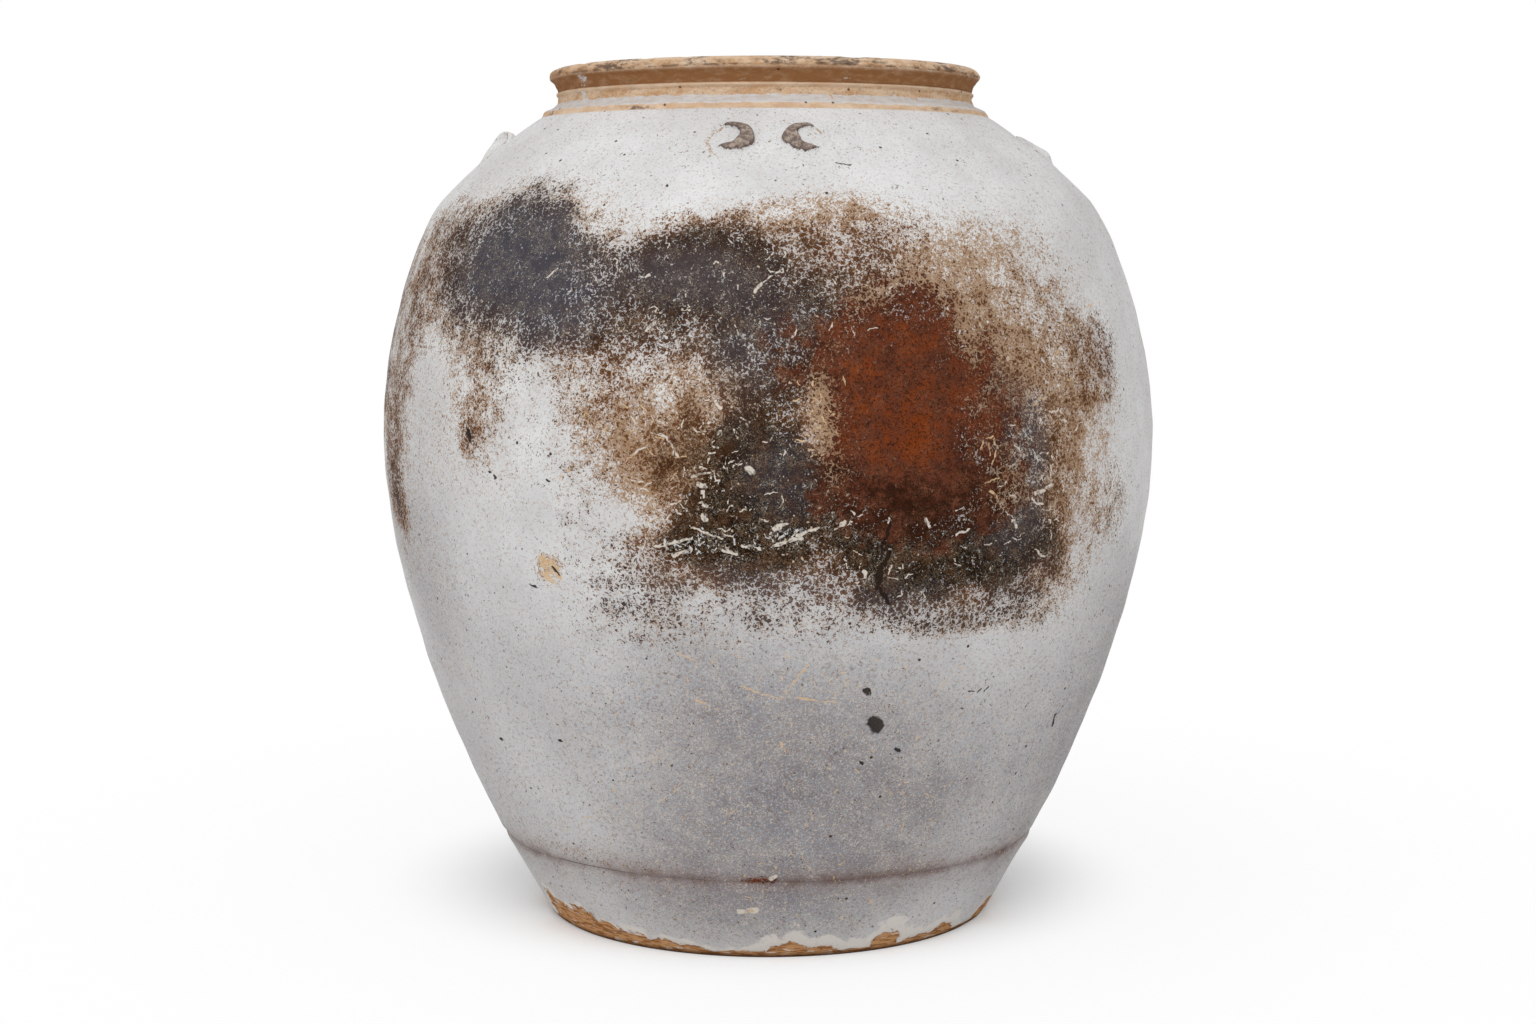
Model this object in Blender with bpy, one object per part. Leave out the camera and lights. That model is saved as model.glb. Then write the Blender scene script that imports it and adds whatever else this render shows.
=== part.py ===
"""A large stoneware storage jar, modelled the way a potter builds one.

A slab base carries three wall sections, a neck collar and a rolled rim, all luted
together with slip. Four lugs stood on the shoulder; their loops have broken off
and left two thumb-pressed pads each, with a crescent stump at the inner end.

Units are metres and +Z is up. The origin is the centre of the base's underside,
and the lug that faces the viewer stands on the -Y side.
"""

import math

import bmesh
import bpy
from mathutils import Vector

MM = 0.001

# Slip joints between luted pieces
LUTING_GAP = 0.3 * MM

# Base slab
BASE_RADIUS = 119.0 * MM
BASE_THICKNESS = 14.0 * MM
BASE_ARRIS = 2.5 * MM

# Body wall, from the slab up to the neck
WALL = 11.0 * MM
FOOT_JOINT_HEIGHT = 45.5 * MM
FOOT_JOINT_RADIUS = 144.4 * MM
FOOT_STEP = 1.6 * MM
FOOT_STEP_DROP = 9.0 * MM
BELLY_RISE = 208.0 * MM
BELLY_RADIUS = 205.6 * MM
BELLY_LOW_LEAN = math.radians(27.0)
BELLY_LOW_HANDLE = 79.0 * MM
BELLY_SIDE_HANDLE_DOWN = 56.0 * MM
BELLY_SIDE_HANDLE_UP = 57.0 * MM
BELLY_HIGH_LEAN = math.radians(38.5)
BELLY_HIGH_HANDLE = 23.0 * MM
SHOULDER_JOINT_RISE = 127.5 * MM
SHOULDER_JOINT_RADIUS = 171.9 * MM
SHOULDER_RISE = 43.0 * MM
SHOULDER_CROWN = 2.3 * MM
NECK_SEAT_RADIUS = 119.2 * MM

# Neck collar: a fillet ring at its foot, then a short upright neck
NECK_RADIUS = 109.8 * MM
NECK_WALL = 9.5 * MM
COLLAR_LEDGE = 8.2 * MM
COLLAR_FACE = 2.6 * MM
COLLAR_SHOULDER = 3.6 * MM
COLLAR_FILLET = 3.4 * MM
COLLAR_HEIGHT = 13.2 * MM

# Rolled rim
LIP_OVERHANG = 4.1 * MM
LIP_UNDERCUT = 7.0 * MM
LIP_FACE = 5.6 * MM
LIP_CROWN_INSET = 6.5 * MM
LIP_ROLL = 0.7 * MM
LIP_INNER_DROP = 7.0 * MM

# Lug pads: where they stand on the shoulder, and their size
LUG_COUNT = 4
LUG_UP_SLOPE = 36.5 * MM
PAD_OFFSET = 18.0 * MM
PAD_LENGTH = 25.0 * MM
PAD_WIDTH = 23.0 * MM
PAD_EDGE = 0.7 * MM
PAD_SWELL = 2.0 * MM
STUMP_HEIGHT = 4.6 * MM
STUMP_WIDTH = 8.0 * MM
STUMP_BATTER = 2.0 * MM
THUMB_HOLLOW = 1.1 * MM
HOLLOW_SHIFT = 1.5 * MM

# Fineness of the turned and pressed surfaces
TURN_STEPS = 64
FOOT_STEPS = 3
BELLY_STEPS = 6
SHOULDER_STEPS = 5
ROLL_STEPS = 5
PAD_POINTS = 20

# Fired colours: bare clay body, and the pale glaze over it
CLAY_COLOUR = (0.46, 0.27, 0.13, 1.0)
GLAZE_COLOUR = (0.66, 0.65, 0.65, 1.0)
CLAY_ROUGHNESS = 0.85
GLAZE_ROUGHNESS = 0.45

# Heights worked out from the driving sizes
BELLY_HEIGHT = FOOT_JOINT_HEIGHT + BELLY_RISE
SHOULDER_JOINT_HEIGHT = BELLY_HEIGHT + SHOULDER_JOINT_RISE
NECK_SEAT_HEIGHT = SHOULDER_JOINT_HEIGHT + SHOULDER_RISE
RIM_SEAT_HEIGHT = NECK_SEAT_HEIGHT + COLLAR_HEIGHT
RIM_TOP_HEIGHT = RIM_SEAT_HEIGHT + LIP_UNDERCUT + LIP_FACE
MOUTH_RADIUS = NECK_RADIUS - NECK_WALL


# Outline curves: every point is (radius, height)


def line(start, end):
    """A straight stretch of outline, as a function of its share from 0 to 1."""
    return lambda share: start.lerp(end, share)


def bezier(start, leaving, arriving, end):
    """A cubic stretch of outline with two handle points, as a function of its share."""

    def at(share):
        rest = 1.0 - share
        return (
            start * rest**3
            + leaving * (3.0 * rest**2 * share)
            + arriving * (3.0 * rest * share**2)
            + end * share**3
        )

    return at


def crowned_arc(start, end, crown):
    """A circular arc that stands crown proud of its chord on the outer side."""
    chord = end - start
    radius = (chord.length_squared / 4.0 + crown**2) / (2.0 * crown)
    outward = Vector((chord.y, -chord.x)).normalized()
    centre = (start + end) / 2.0 + outward * (crown - radius)
    half_angle = math.asin(chord.length / 2.0 / radius)
    along = chord.normalized()

    def at(share):
        angle = (2.0 * share - 1.0) * half_angle
        return centre + outward * (radius * math.cos(angle)) + along * (radius * math.sin(angle))

    return at


def direction(curve, share):
    """The unit direction in which a stretch of outline runs at a share of it."""
    step = 1e-3
    low = max(0.0, share - step)
    high = min(1.0, share + step)
    return (curve(high) - curve(low)).normalized()


def outer_and_inner(curve, steps):
    """Points of a wall's outer face going up, and of its inner face level with them."""
    outer = []
    inner = []
    for index in range(steps + 1):
        share = index / steps
        point = curve(share)
        run = direction(curve, share)
        outer.append(point)
        inner.append(Vector((point.x - WALL / run.y, point.y)))
    return outer, inner


def foot_curve():
    """Outer face of the slab and foot: a straight taper up to the foot joint."""
    return line(Vector((BASE_RADIUS, 0.0)), Vector((FOOT_JOINT_RADIUS, FOOT_JOINT_HEIGHT)))


def belly_curves():
    """Outer face of the belly, below and above its widest girth."""
    low = Vector((FOOT_JOINT_RADIUS, FOOT_JOINT_HEIGHT))
    widest = Vector((BELLY_RADIUS, BELLY_HEIGHT))
    high = Vector((SHOULDER_JOINT_RADIUS, SHOULDER_JOINT_HEIGHT))
    low_run = Vector((math.sin(BELLY_LOW_LEAN), math.cos(BELLY_LOW_LEAN)))
    high_run = Vector((-math.sin(BELLY_HIGH_LEAN), math.cos(BELLY_HIGH_LEAN)))
    below = bezier(
        low,
        low + low_run * BELLY_LOW_HANDLE,
        widest - Vector((0.0, BELLY_SIDE_HANDLE_DOWN)),
        widest,
    )
    above = bezier(
        widest,
        widest + Vector((0.0, BELLY_SIDE_HANDLE_UP)),
        high - high_run * BELLY_HIGH_HANDLE,
        high,
    )
    return below, above


def shoulder_curve():
    """Outer face of the shoulder, from the belly's joint to the neck's seat."""
    return crowned_arc(
        Vector((SHOULDER_JOINT_RADIUS, SHOULDER_JOINT_HEIGHT)),
        Vector((NECK_SEAT_RADIUS, NECK_SEAT_HEIGHT)),
        SHOULDER_CROWN,
    )


# Building blocks


def fired_material(name, colour, roughness):
    """A fired surface: a Principled shader with one colour and roughness."""
    material = bpy.data.materials.new(name)
    material.use_nodes = True
    shader = material.node_tree.nodes["Principled BSDF"]
    shader.inputs["Base Color"].default_value = colour
    shader.inputs["Roughness"].default_value = roughness
    shader.inputs["Metallic"].default_value = 0.0
    return material


def finished_object(name, mesh_builder, colour, roughness, parent):
    """Turns a bmesh into a named, smooth-shaded object with its own material."""
    bmesh.ops.recalc_face_normals(mesh_builder, faces=mesh_builder.faces)
    mesh = bpy.data.meshes.new(name)
    mesh_builder.to_mesh(mesh)
    mesh_builder.free()
    mesh.shade_smooth()
    mesh.set_sharp_from_angle(angle=math.radians(40.0))
    mesh.materials.append(fired_material(name + "_fired", colour, roughness))
    piece = bpy.data.objects.new(name, mesh)
    bpy.context.scene.collection.objects.link(piece)
    piece.parent = parent
    return piece


def turned(name, outline, colour, roughness, parent):
    """Spins a closed outline about the jar's axis, as on the wheel."""
    builder = bmesh.new()
    corners = [builder.verts.new((point.x, 0.0, point.y)) for point in outline]
    sides = [pair for pair in zip(corners, corners[1:] + corners[:1]) if max(v.co.x for v in pair) > 0.0]
    edges = [builder.edges.new(pair) for pair in sides]
    bmesh.ops.spin(
        builder,
        geom=corners + edges,
        cent=(0.0, 0.0, 0.0),
        axis=(0.0, 0.0, 1.0),
        angle=2.0 * math.pi,
        steps=TURN_STEPS,
        use_merge=True,
    )
    bmesh.ops.remove_doubles(builder, verts=builder.verts, dist=1e-7)
    return finished_object(name, builder, colour, roughness, parent)


# The jar's pieces


def base_disc(parent):
    """The slab the jar was built on, with a worn lower edge and the wall's taper."""
    taper = foot_curve()
    top_edge = taper(BASE_THICKNESS / FOOT_JOINT_HEIGHT)
    run = direction(taper, 0.5)
    worn_side = Vector((BASE_RADIUS, 0.0)) + run * BASE_ARRIS
    outline = [
        Vector((0.0, 0.0)),
        Vector((BASE_RADIUS - BASE_ARRIS, 0.0)),
        worn_side,
        top_edge,
        Vector((0.0, BASE_THICKNESS)),
    ]
    return turned("base_disc", outline, CLAY_COLOUR, CLAY_ROUGHNESS, parent)


def foot_wall(parent):
    """The lowest wall section, drawn in just under the belly's lower edge."""
    taper = foot_curve()
    bottom = BASE_THICKNESS + LUTING_GAP
    lower_end = taper(bottom / FOOT_JOINT_HEIGHT)
    step_start = taper(1.0 - FOOT_STEP_DROP / FOOT_JOINT_HEIGHT)
    top = Vector((FOOT_JOINT_RADIUS - FOOT_STEP, FOOT_JOINT_HEIGHT))
    half_drop = Vector((0.0, FOOT_STEP_DROP / 2.0))
    inward_curl = bezier(step_start, step_start + direction(taper, 0.5) * half_drop.y, top - half_drop, top)
    outer = [lower_end] + [inward_curl(index / FOOT_STEPS) for index in range(FOOT_STEPS + 1)]
    level_wall = WALL / direction(taper, 0.5).y
    inner = [
        Vector((FOOT_JOINT_RADIUS - level_wall, FOOT_JOINT_HEIGHT)),
        Vector((lower_end.x - level_wall, lower_end.y)),
    ]
    return turned("foot_wall", outer + inner, GLAZE_COLOUR, GLAZE_ROUGHNESS, parent)


def belly_wall(parent):
    """The tall middle section, from the foot joint to the shoulder joint."""
    below, above = belly_curves()
    outer_below, inner_below = outer_and_inner(below, BELLY_STEPS)
    outer_above, inner_above = outer_and_inner(above, BELLY_STEPS)
    outer = outer_below + outer_above[1:]
    inner = inner_below + inner_above[1:]
    outer[0] = outer[0] + Vector((0.0, LUTING_GAP))
    inner[0] = inner[0] + Vector((0.0, LUTING_GAP))
    return turned("belly_wall", outer + inner[::-1], GLAZE_COLOUR, GLAZE_ROUGHNESS, parent)


def shoulder_wall(parent):
    """The sloping shoulder section, cut level at the top to seat the neck collar."""
    outer, inner = outer_and_inner(shoulder_curve(), SHOULDER_STEPS)
    outer[0] = outer[0] + Vector((0.0, LUTING_GAP))
    inner[0] = inner[0] + Vector((0.0, LUTING_GAP))
    return turned("shoulder_wall", outer + inner[::-1], GLAZE_COLOUR, GLAZE_ROUGHNESS, parent)


def neck_collar(parent):
    """A fillet ring on the shoulder's seat, hollowing into the upright neck."""
    bottom = NECK_SEAT_HEIGHT + LUTING_GAP
    ring_radius = NECK_RADIUS + COLLAR_LEDGE
    ledge = Vector((ring_radius - COLLAR_SHOULDER / 3.0, bottom + COLLAR_FACE))
    hollow_end = Vector((NECK_RADIUS, ledge.y + COLLAR_SHOULDER + COLLAR_FILLET))
    hollow = bezier(
        ledge,
        ledge + Vector((-COLLAR_SHOULDER, COLLAR_SHOULDER * 0.6)),
        hollow_end - Vector((0.0, COLLAR_FILLET)),
        hollow_end,
    )
    outer = [Vector((ring_radius, bottom))]
    outer += [hollow(index / ROLL_STEPS) for index in range(ROLL_STEPS + 1)]
    outer += [Vector((NECK_RADIUS, RIM_SEAT_HEIGHT))]
    inner = [Vector((MOUTH_RADIUS, RIM_SEAT_HEIGHT)), Vector((MOUTH_RADIUS, bottom))]
    return turned("neck_collar", outer + inner, CLAY_COLOUR, CLAY_ROUGHNESS, parent)


def mouth_rim(parent):
    """The rolled lip: undercut outside, rounded over the top and eased inside."""
    seat = RIM_SEAT_HEIGHT + LUTING_GAP
    arris = Vector((NECK_RADIUS + LIP_OVERHANG, RIM_SEAT_HEIGHT + LIP_UNDERCUT))
    crown = Vector((arris.x - LIP_CROWN_INSET, RIM_TOP_HEIGHT))
    inner_edge = Vector((MOUTH_RADIUS, RIM_TOP_HEIGHT - LIP_INNER_DROP))
    outer_roll = bezier(
        arris,
        arris + Vector((LIP_ROLL * 2.0, LIP_FACE * 0.6)),
        crown + Vector((LIP_CROWN_INSET * 0.6, 0.0)),
        crown,
    )
    inner_roll = bezier(
        crown,
        crown - Vector(((crown.x - MOUTH_RADIUS) * 0.7, 0.0)),
        inner_edge + Vector((0.0, LIP_INNER_DROP * 0.6)),
        inner_edge,
    )
    outline = [Vector((NECK_RADIUS, seat))]
    outline += [outer_roll(index / ROLL_STEPS) for index in range(ROLL_STEPS + 1)]
    outline += [inner_roll(index / ROLL_STEPS) for index in range(1, ROLL_STEPS + 1)]
    outline += [Vector((MOUTH_RADIUS, seat))]
    return turned("mouth_rim", outline, CLAY_COLOUR, CLAY_ROUGHNESS, parent)


def shoulder_place(azimuth, sideways, up_slope, lift):
    """A point that stands lift off the shoulder, at a distance round it and up its slope."""
    curve = shoulder_curve()
    slope_length = (curve(1.0) - curve(0.0)).length
    share = up_slope / slope_length
    point = curve(share)
    run = direction(curve, share)
    place = point + Vector((run.y, -run.x)) * lift
    turn = azimuth + sideways / point.x
    return Vector((place.x * math.cos(turn), place.x * math.sin(turn), place.y))


def lug_pad(name, azimuth, hand, parent):
    """One foot of a broken lug. hand is -1 or 1, the side of the lug it stands on.

    Rings of points run from the pad's edge over the crescent stump, which faces the
    middle of the lug, down into the hollow that a thumb pressed.
    """

    def place(angle, reach, lift, shift=0.0):
        sideways = hand * (PAD_OFFSET - math.cos(angle) * reach * PAD_LENGTH / 2.0 + shift)
        up_slope = LUG_UP_SLOPE + math.sin(angle) * reach * PAD_WIDTH / 2.0
        return shoulder_place(azimuth, sideways, up_slope, LUTING_GAP + lift)

    builder = bmesh.new()
    seat_ring, edge_ring, stump_ring, brink_ring = [], [], [], []
    batter = STUMP_BATTER / (PAD_LENGTH / 2.0)
    stump = STUMP_WIDTH / (PAD_LENGTH / 2.0)
    for index in range(PAD_POINTS):
        angle = 2.0 * math.pi * index / PAD_POINTS
        facing = max(0.0, math.cos(angle)) ** 0.75
        crest = PAD_SWELL + (STUMP_HEIGHT - PAD_SWELL) * facing
        stump_reach = 1.0 - batter * (2.0 - facing)
        brink_reach = stump_reach - stump * max(facing, 0.12)
        seat_ring.append(builder.verts.new(place(angle, 1.0, 0.0)))
        edge_ring.append(builder.verts.new(place(angle, 1.0, PAD_EDGE)))
        stump_ring.append(builder.verts.new(place(angle, stump_reach, crest)))
        brink_ring.append(builder.verts.new(place(angle, brink_reach, crest)))
    rings = [seat_ring, edge_ring, stump_ring, brink_ring]
    seat_middle = builder.verts.new(place(0.0, 0.0, 0.0))
    hollow = builder.verts.new(place(0.0, 0.0, THUMB_HOLLOW, HOLLOW_SHIFT))
    for index in range(PAD_POINTS):
        after = (index + 1) % PAD_POINTS
        for low, high in zip(rings, rings[1:]):
            builder.faces.new((low[index], low[after], high[after], high[index]))
        builder.faces.new((brink_ring[index], brink_ring[after], hollow))
        builder.faces.new((seat_ring[after], seat_ring[index], seat_middle))
    return finished_object(name, builder, GLAZE_COLOUR, GLAZE_ROUGHNESS, parent)


def lug_pads(parent):
    """Two pads for each lug, the front lug first and then round the shoulder."""
    sides = ("front", "right", "back", "left")
    for index in range(LUG_COUNT):
        azimuth = -math.pi / 2.0 + 2.0 * math.pi * index / LUG_COUNT
        side = sides[index] if LUG_COUNT == len(sides) else f"lug{index + 1}"
        lug_pad(f"{side}_lug_pad_a", azimuth, -1, parent)
        lug_pad(f"{side}_lug_pad_b", azimuth, 1, parent)


def main():
    for leftover in list(bpy.data.objects):
        bpy.data.objects.remove(leftover)
    jar = bpy.data.objects.new("storage_jar", None)
    bpy.context.scene.collection.objects.link(jar)
    base_disc(jar)
    foot_wall(jar)
    belly_wall(jar)
    shoulder_wall(jar)
    neck_collar(jar)
    mouth_rim(jar)
    lug_pads(jar)
    print(f"jar height {RIM_TOP_HEIGHT / MM:.1f} mm, girth {2.0 * BELLY_RADIUS / MM:.1f} mm")


main()
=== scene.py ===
# %% [markdown]
# # A storage jar, dressed
#
# This lesson dresses the bare solids of a big stoneware jar until they look like a jar that has stood
# in a kitchen for a century. Each cell makes one thing: the camera first, then the tools, the stains,
# the finishes and at last the pieces. The solids come in as a fixed frame, so every piece lands where
# its solid is.

import math

import bmesh
import bpy
import numpy as np
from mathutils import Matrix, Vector


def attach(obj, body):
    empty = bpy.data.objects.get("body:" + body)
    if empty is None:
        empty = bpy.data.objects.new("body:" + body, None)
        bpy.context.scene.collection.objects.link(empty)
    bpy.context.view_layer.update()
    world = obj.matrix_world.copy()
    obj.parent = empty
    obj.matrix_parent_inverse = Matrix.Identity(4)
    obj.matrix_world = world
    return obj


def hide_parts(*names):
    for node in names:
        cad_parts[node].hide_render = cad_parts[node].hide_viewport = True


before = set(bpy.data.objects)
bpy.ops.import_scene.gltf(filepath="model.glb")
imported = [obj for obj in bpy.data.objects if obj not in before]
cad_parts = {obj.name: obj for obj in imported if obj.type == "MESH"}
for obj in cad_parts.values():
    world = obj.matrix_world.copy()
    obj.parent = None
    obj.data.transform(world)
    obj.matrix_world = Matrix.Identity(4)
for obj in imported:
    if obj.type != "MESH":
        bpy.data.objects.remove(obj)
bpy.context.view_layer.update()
MM = 0.001
print("solids:", ", ".join(sorted(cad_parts)))

# %% [markdown]
# ## Camera
#
# The camera sees the jar as the photograph does. Its distance, height and tilt were found by fitting
# the outline, the mouth's curve and the foot line. Image positions in this file are pixels of a 1536 by
# 1024 picture, and `sight` turns one into a line of sight.

# %% Set up the camera
IMAGE_WIDTH = 1536
IMAGE_HEIGHT = 1024
SENSOR_WIDTH = 36.0
LENS = 59.56
CAMERA_BACK = 1.3698
CAMERA_HEIGHT = 0.3559
CAMERA_TILT = math.radians(5.925)
FOCAL_PIXELS = LENS / SENSOR_WIDTH * IMAGE_WIDTH
NEAREST_SIGHT = 1.0
FARTHEST_SIGHT = 1.75
SIGHT_STEP = 0.4 * MM
FARTHEST_SEEN = 50.0

camera_data = bpy.data.cameras.new("camera")
camera_data.lens = LENS
camera_data.sensor_width = SENSOR_WIDTH
camera_data.clip_end = FARTHEST_SEEN
camera = bpy.data.objects.new("camera", camera_data)
camera.location = (0.0, -CAMERA_BACK, CAMERA_HEIGHT)
camera.rotation_euler = (math.pi / 2.0 - CAMERA_TILT, 0.0, 0.0)
bpy.context.scene.collection.objects.link(camera)
bpy.context.scene.camera = camera


def sight(across, down):
    """The direction in which the camera looks through a pixel."""
    side = (across - IMAGE_WIDTH / 2.0) / FOCAL_PIXELS
    rise = (IMAGE_HEIGHT / 2.0 - down) / FOCAL_PIXELS
    ahead = math.cos(CAMERA_TILT) + rise * math.sin(CAMERA_TILT)
    return np.array([side, ahead, rise * math.cos(CAMERA_TILT) - math.sin(CAMERA_TILT)])


print(f"camera {CAMERA_BACK:.2f} m away, focal length {FOCAL_PIXELS:.0f} pixels")

# %% [markdown]
# ## The outline
#
# A turned pot is one outline spun about an axis. These are the sizes of the solids, written again
# because this file reads nothing else. Points are (radius, height) in metres. Each stretch is a curve
# that a thrower would recognise: a straight foot, two long belly curves and a crowned shoulder.

# %% Write down the outline
BASE_RADIUS = 119.0 * MM
BASE_THICKNESS = 14.0 * MM
WALL = 11.0 * MM
FOOT_JOINT = (144.4 * MM, 45.5 * MM)
FOOT_STEP = 1.6 * MM
GIRTH = (205.6 * MM, 253.5 * MM)
SHOULDER_JOINT = (171.9 * MM, 381.0 * MM)
NECK_SEAT = (119.2 * MM, 424.0 * MM)
SHOULDER_CROWN = 2.3 * MM
NECK_RADIUS = 109.8 * MM
MOUTH_RADIUS = 100.3 * MM
RIM_SEAT = 437.2 * MM
RIM_TOP = 449.8 * MM
FRONT_LUG = (768, 138)


def bezier(start, leaving, arriving, end, count):
    """Points along a cubic curve with two handle points."""
    share = np.linspace(0.0, 1.0, count)[:, None]
    rest = 1.0 - share
    points = [np.array(point) for point in (start, leaving, arriving, end)]
    return (
        points[0] * rest**3
        + points[1] * (3.0 * rest**2 * share)
        + points[2] * (3.0 * rest * share**2)
        + points[3] * share**3
    )


def belly_outline(low_count, high_count):
    """The belly from the foot joint, over the widest girth, to the shoulder joint."""
    low_lean, low_handle = math.radians(27.0), 79.0 * MM
    high_lean, high_handle = math.radians(38.5), 23.0 * MM
    girth_below, girth_above = (GIRTH[0], GIRTH[1] - 56.0 * MM), (GIRTH[0], GIRTH[1] + 57.0 * MM)
    low_leaving = (
        FOOT_JOINT[0] + math.sin(low_lean) * low_handle,
        FOOT_JOINT[1] + math.cos(low_lean) * low_handle,
    )
    high_arriving = (
        SHOULDER_JOINT[0] + math.sin(high_lean) * high_handle,
        SHOULDER_JOINT[1] - math.cos(high_lean) * high_handle,
    )
    below = bezier(FOOT_JOINT, low_leaving, girth_below, GIRTH, low_count)
    above = bezier(GIRTH, girth_above, high_arriving, SHOULDER_JOINT, high_count)
    return np.vstack([below, above[1:]])


def shoulder_outline(count):
    """The shoulder: a flat arc that stands a little proud of the straight line."""
    start, end = np.array(SHOULDER_JOINT), np.array(NECK_SEAT)
    chord = end - start
    length = np.hypot(*chord)
    outward = np.array([chord[1], -chord[0]]) / length
    share = np.linspace(0.0, 1.0, count)[:, None]
    return start + chord * share + outward * (SHOULDER_CROWN * 4.0 * share * (1.0 - share))


def foot_radius(height):
    """The straight taper of the foot."""
    return BASE_RADIUS + (FOOT_JOINT[0] - BASE_RADIUS) * height / FOOT_JOINT[1]


skin = np.vstack([[(BASE_RADIUS, 0.0)], belly_outline(120, 80), shoulder_outline(40)[1:]])


def skin_radius(height):
    """The jar's outer radius at a height, from the base to the neck's seat."""
    return np.interp(height, skin[:, 1], skin[:, 0])


def on_jar(across, down):
    """Where a pixel's line of sight meets the jar: the angle round it and the height.

    The angle is 0 at the front and grows to the viewer's right.
    """
    eye = np.array([0.0, -CAMERA_BACK, CAMERA_HEIGHT])
    reach = np.arange(NEAREST_SIGHT, FARTHEST_SIGHT, SIGHT_STEP)[:, None]
    points = eye + sight(across, down) * reach
    inside = np.hypot(points[:, 0], points[:, 1]) < skin_radius(points[:, 2])
    inside &= points[:, 2] < NECK_SEAT[1]
    hit = points[np.argmax(inside)]
    return math.atan2(hit[0], -hit[1]), hit[2]


print("front lug at", [round(value, 3) for value in on_jar(*FRONT_LUG)])

# %% [markdown]
# ## Turning a piece
#
# `turned` spins an outer and an inner outline into one closed wall. It works on whole arrays, so a fine
# wall of a hundred thousand faces takes a moment. A function may push the outer face in and out along
# its normal, which is how throwing ridges, dents and chips get into the shape itself rather than only
# its shading.

# %% Make the turning tools
SEGMENTS = 600
LEAN = 1.8 * MM
SHARP_ANGLE = math.radians(50.0)
DRIFT_WAVES = 7
DRIFT_SPREAD = 2.6
FULL_TURN = 6.28
ANGLES = np.linspace(-math.pi, math.pi, SEGMENTS, endpoint=False)


def eased(value, low, high):
    """0 below low, 1 above high, and smooth between."""
    share = np.clip((value - low) / (high - low), 0.0, 1.0)
    return share * share * (3.0 - 2.0 * share)


def bell(away, width):
    """1 in the middle, falling off smoothly to both sides over a width."""
    return np.exp(-((away / width) ** 2))


def lean_at(height):
    """How far the jar leans to the left: nothing up to the girth, then more and more."""
    return LEAN * np.clip((height - GIRTH[1]) / (RIM_TOP - GIRTH[1]), 0.0, 1.0) ** 1.5


def outline_normals(outline):
    """Unit normals of an outline that runs up its outer side."""
    run = np.gradient(outline, axis=0)
    run /= np.maximum(np.hypot(run[:, 0], run[:, 1]), 1e-12)[:, None]
    return np.column_stack([run[:, 1], -run[:, 0]])


def spun(outline, push=None):
    """Points of a spun outline, as rings from its start to its end."""
    angle, radius = np.meshgrid(ANGLES, outline[:, 0])
    height = np.repeat(outline[:, 1][:, None], SEGMENTS, axis=1)
    if push is not None:
        normal = outline_normals(outline)
        depth = push(angle, height)
        radius = radius + normal[:, 0][:, None] * depth
        height = height + normal[:, 1][:, None] * depth
    across = radius * np.sin(angle) - lean_at(height)
    return np.stack([across, -radius * np.cos(angle), height], axis=-1)


def new_piece(name, points, faces, materials, face_materials=None):
    """A smooth-shaded piece from arrays of points and faces, riding on the jar."""
    mesh = bpy.data.meshes.new(name)
    mesh.from_pydata(points.reshape(-1, 3), [], faces)
    for material in materials:
        mesh.materials.append(material)
    if face_materials is not None:
        mesh.polygons.foreach_set("material_index", face_materials)
    mesh.shade_smooth()
    mesh.set_sharp_from_angle(angle=SHARP_ANGLE)
    piece = bpy.data.objects.new(name, mesh)
    bpy.context.scene.collection.objects.link(piece)
    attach(piece, "root")
    return piece


def turned(name, outer, inner, materials, push=None):
    """A closed wall: the outer outline runs up, the inner one back down."""
    rings = np.vstack([spun(outer, push), spun(inner)])
    count = len(outer) + len(inner)
    ring = np.arange(count)[:, None] * SEGMENTS
    after_ring = (np.arange(count)[:, None] + 1) % count * SEGMENTS
    place = np.arange(SEGMENTS)[None, :]
    after = (place + 1) % SEGMENTS
    quads = np.stack([ring + place, ring + after, after_ring + after, after_ring + place], axis=-1)
    is_inner = np.repeat(np.arange(count) >= len(outer) - 1, SEGMENTS).astype(np.int32)
    return new_piece(name, rings, quads.reshape(-1, 4).tolist(), materials, is_inner)


def paint_points(piece, **layers):
    """Stores one number per point under each layer's name, for a finish to read."""
    for name, values in layers.items():
        layer = piece.data.attributes.new(name, "FLOAT", "POINT")
        full = np.zeros(len(piece.data.vertices), dtype=np.float32)
        flat = np.asarray(values, dtype=np.float32).ravel()
        full[: len(flat)] = flat
        layer.data.foreach_set("value", full)


def drift(angle, height, size, seed):
    """Smooth random rise and fall between about -1 and 1, over features of a size."""
    chance = np.random.default_rng(seed)
    radius = skin_radius(height)
    places = np.stack([radius * np.sin(angle), radius * np.cos(angle), height], axis=-1)
    total = np.zeros_like(angle)
    for _ in range(DRIFT_WAVES):
        way = chance.normal(size=3)
        way *= 2.0 * math.pi / (size * 2.0 * np.linalg.norm(way))
        total += np.sin(places @ (way * chance.uniform(0.7, 1.4)) + chance.uniform(0.0, FULL_TURN))
    return total / DRIFT_SPREAD


def stands_for(piece, node):
    """Hides the solid that a piece stands for, and prints how many faces the piece has."""
    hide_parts(node)
    print(piece.name, len(piece.data.polygons), "faces")


print(f"walls are turned with {SEGMENTS} points in each ring")
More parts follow.
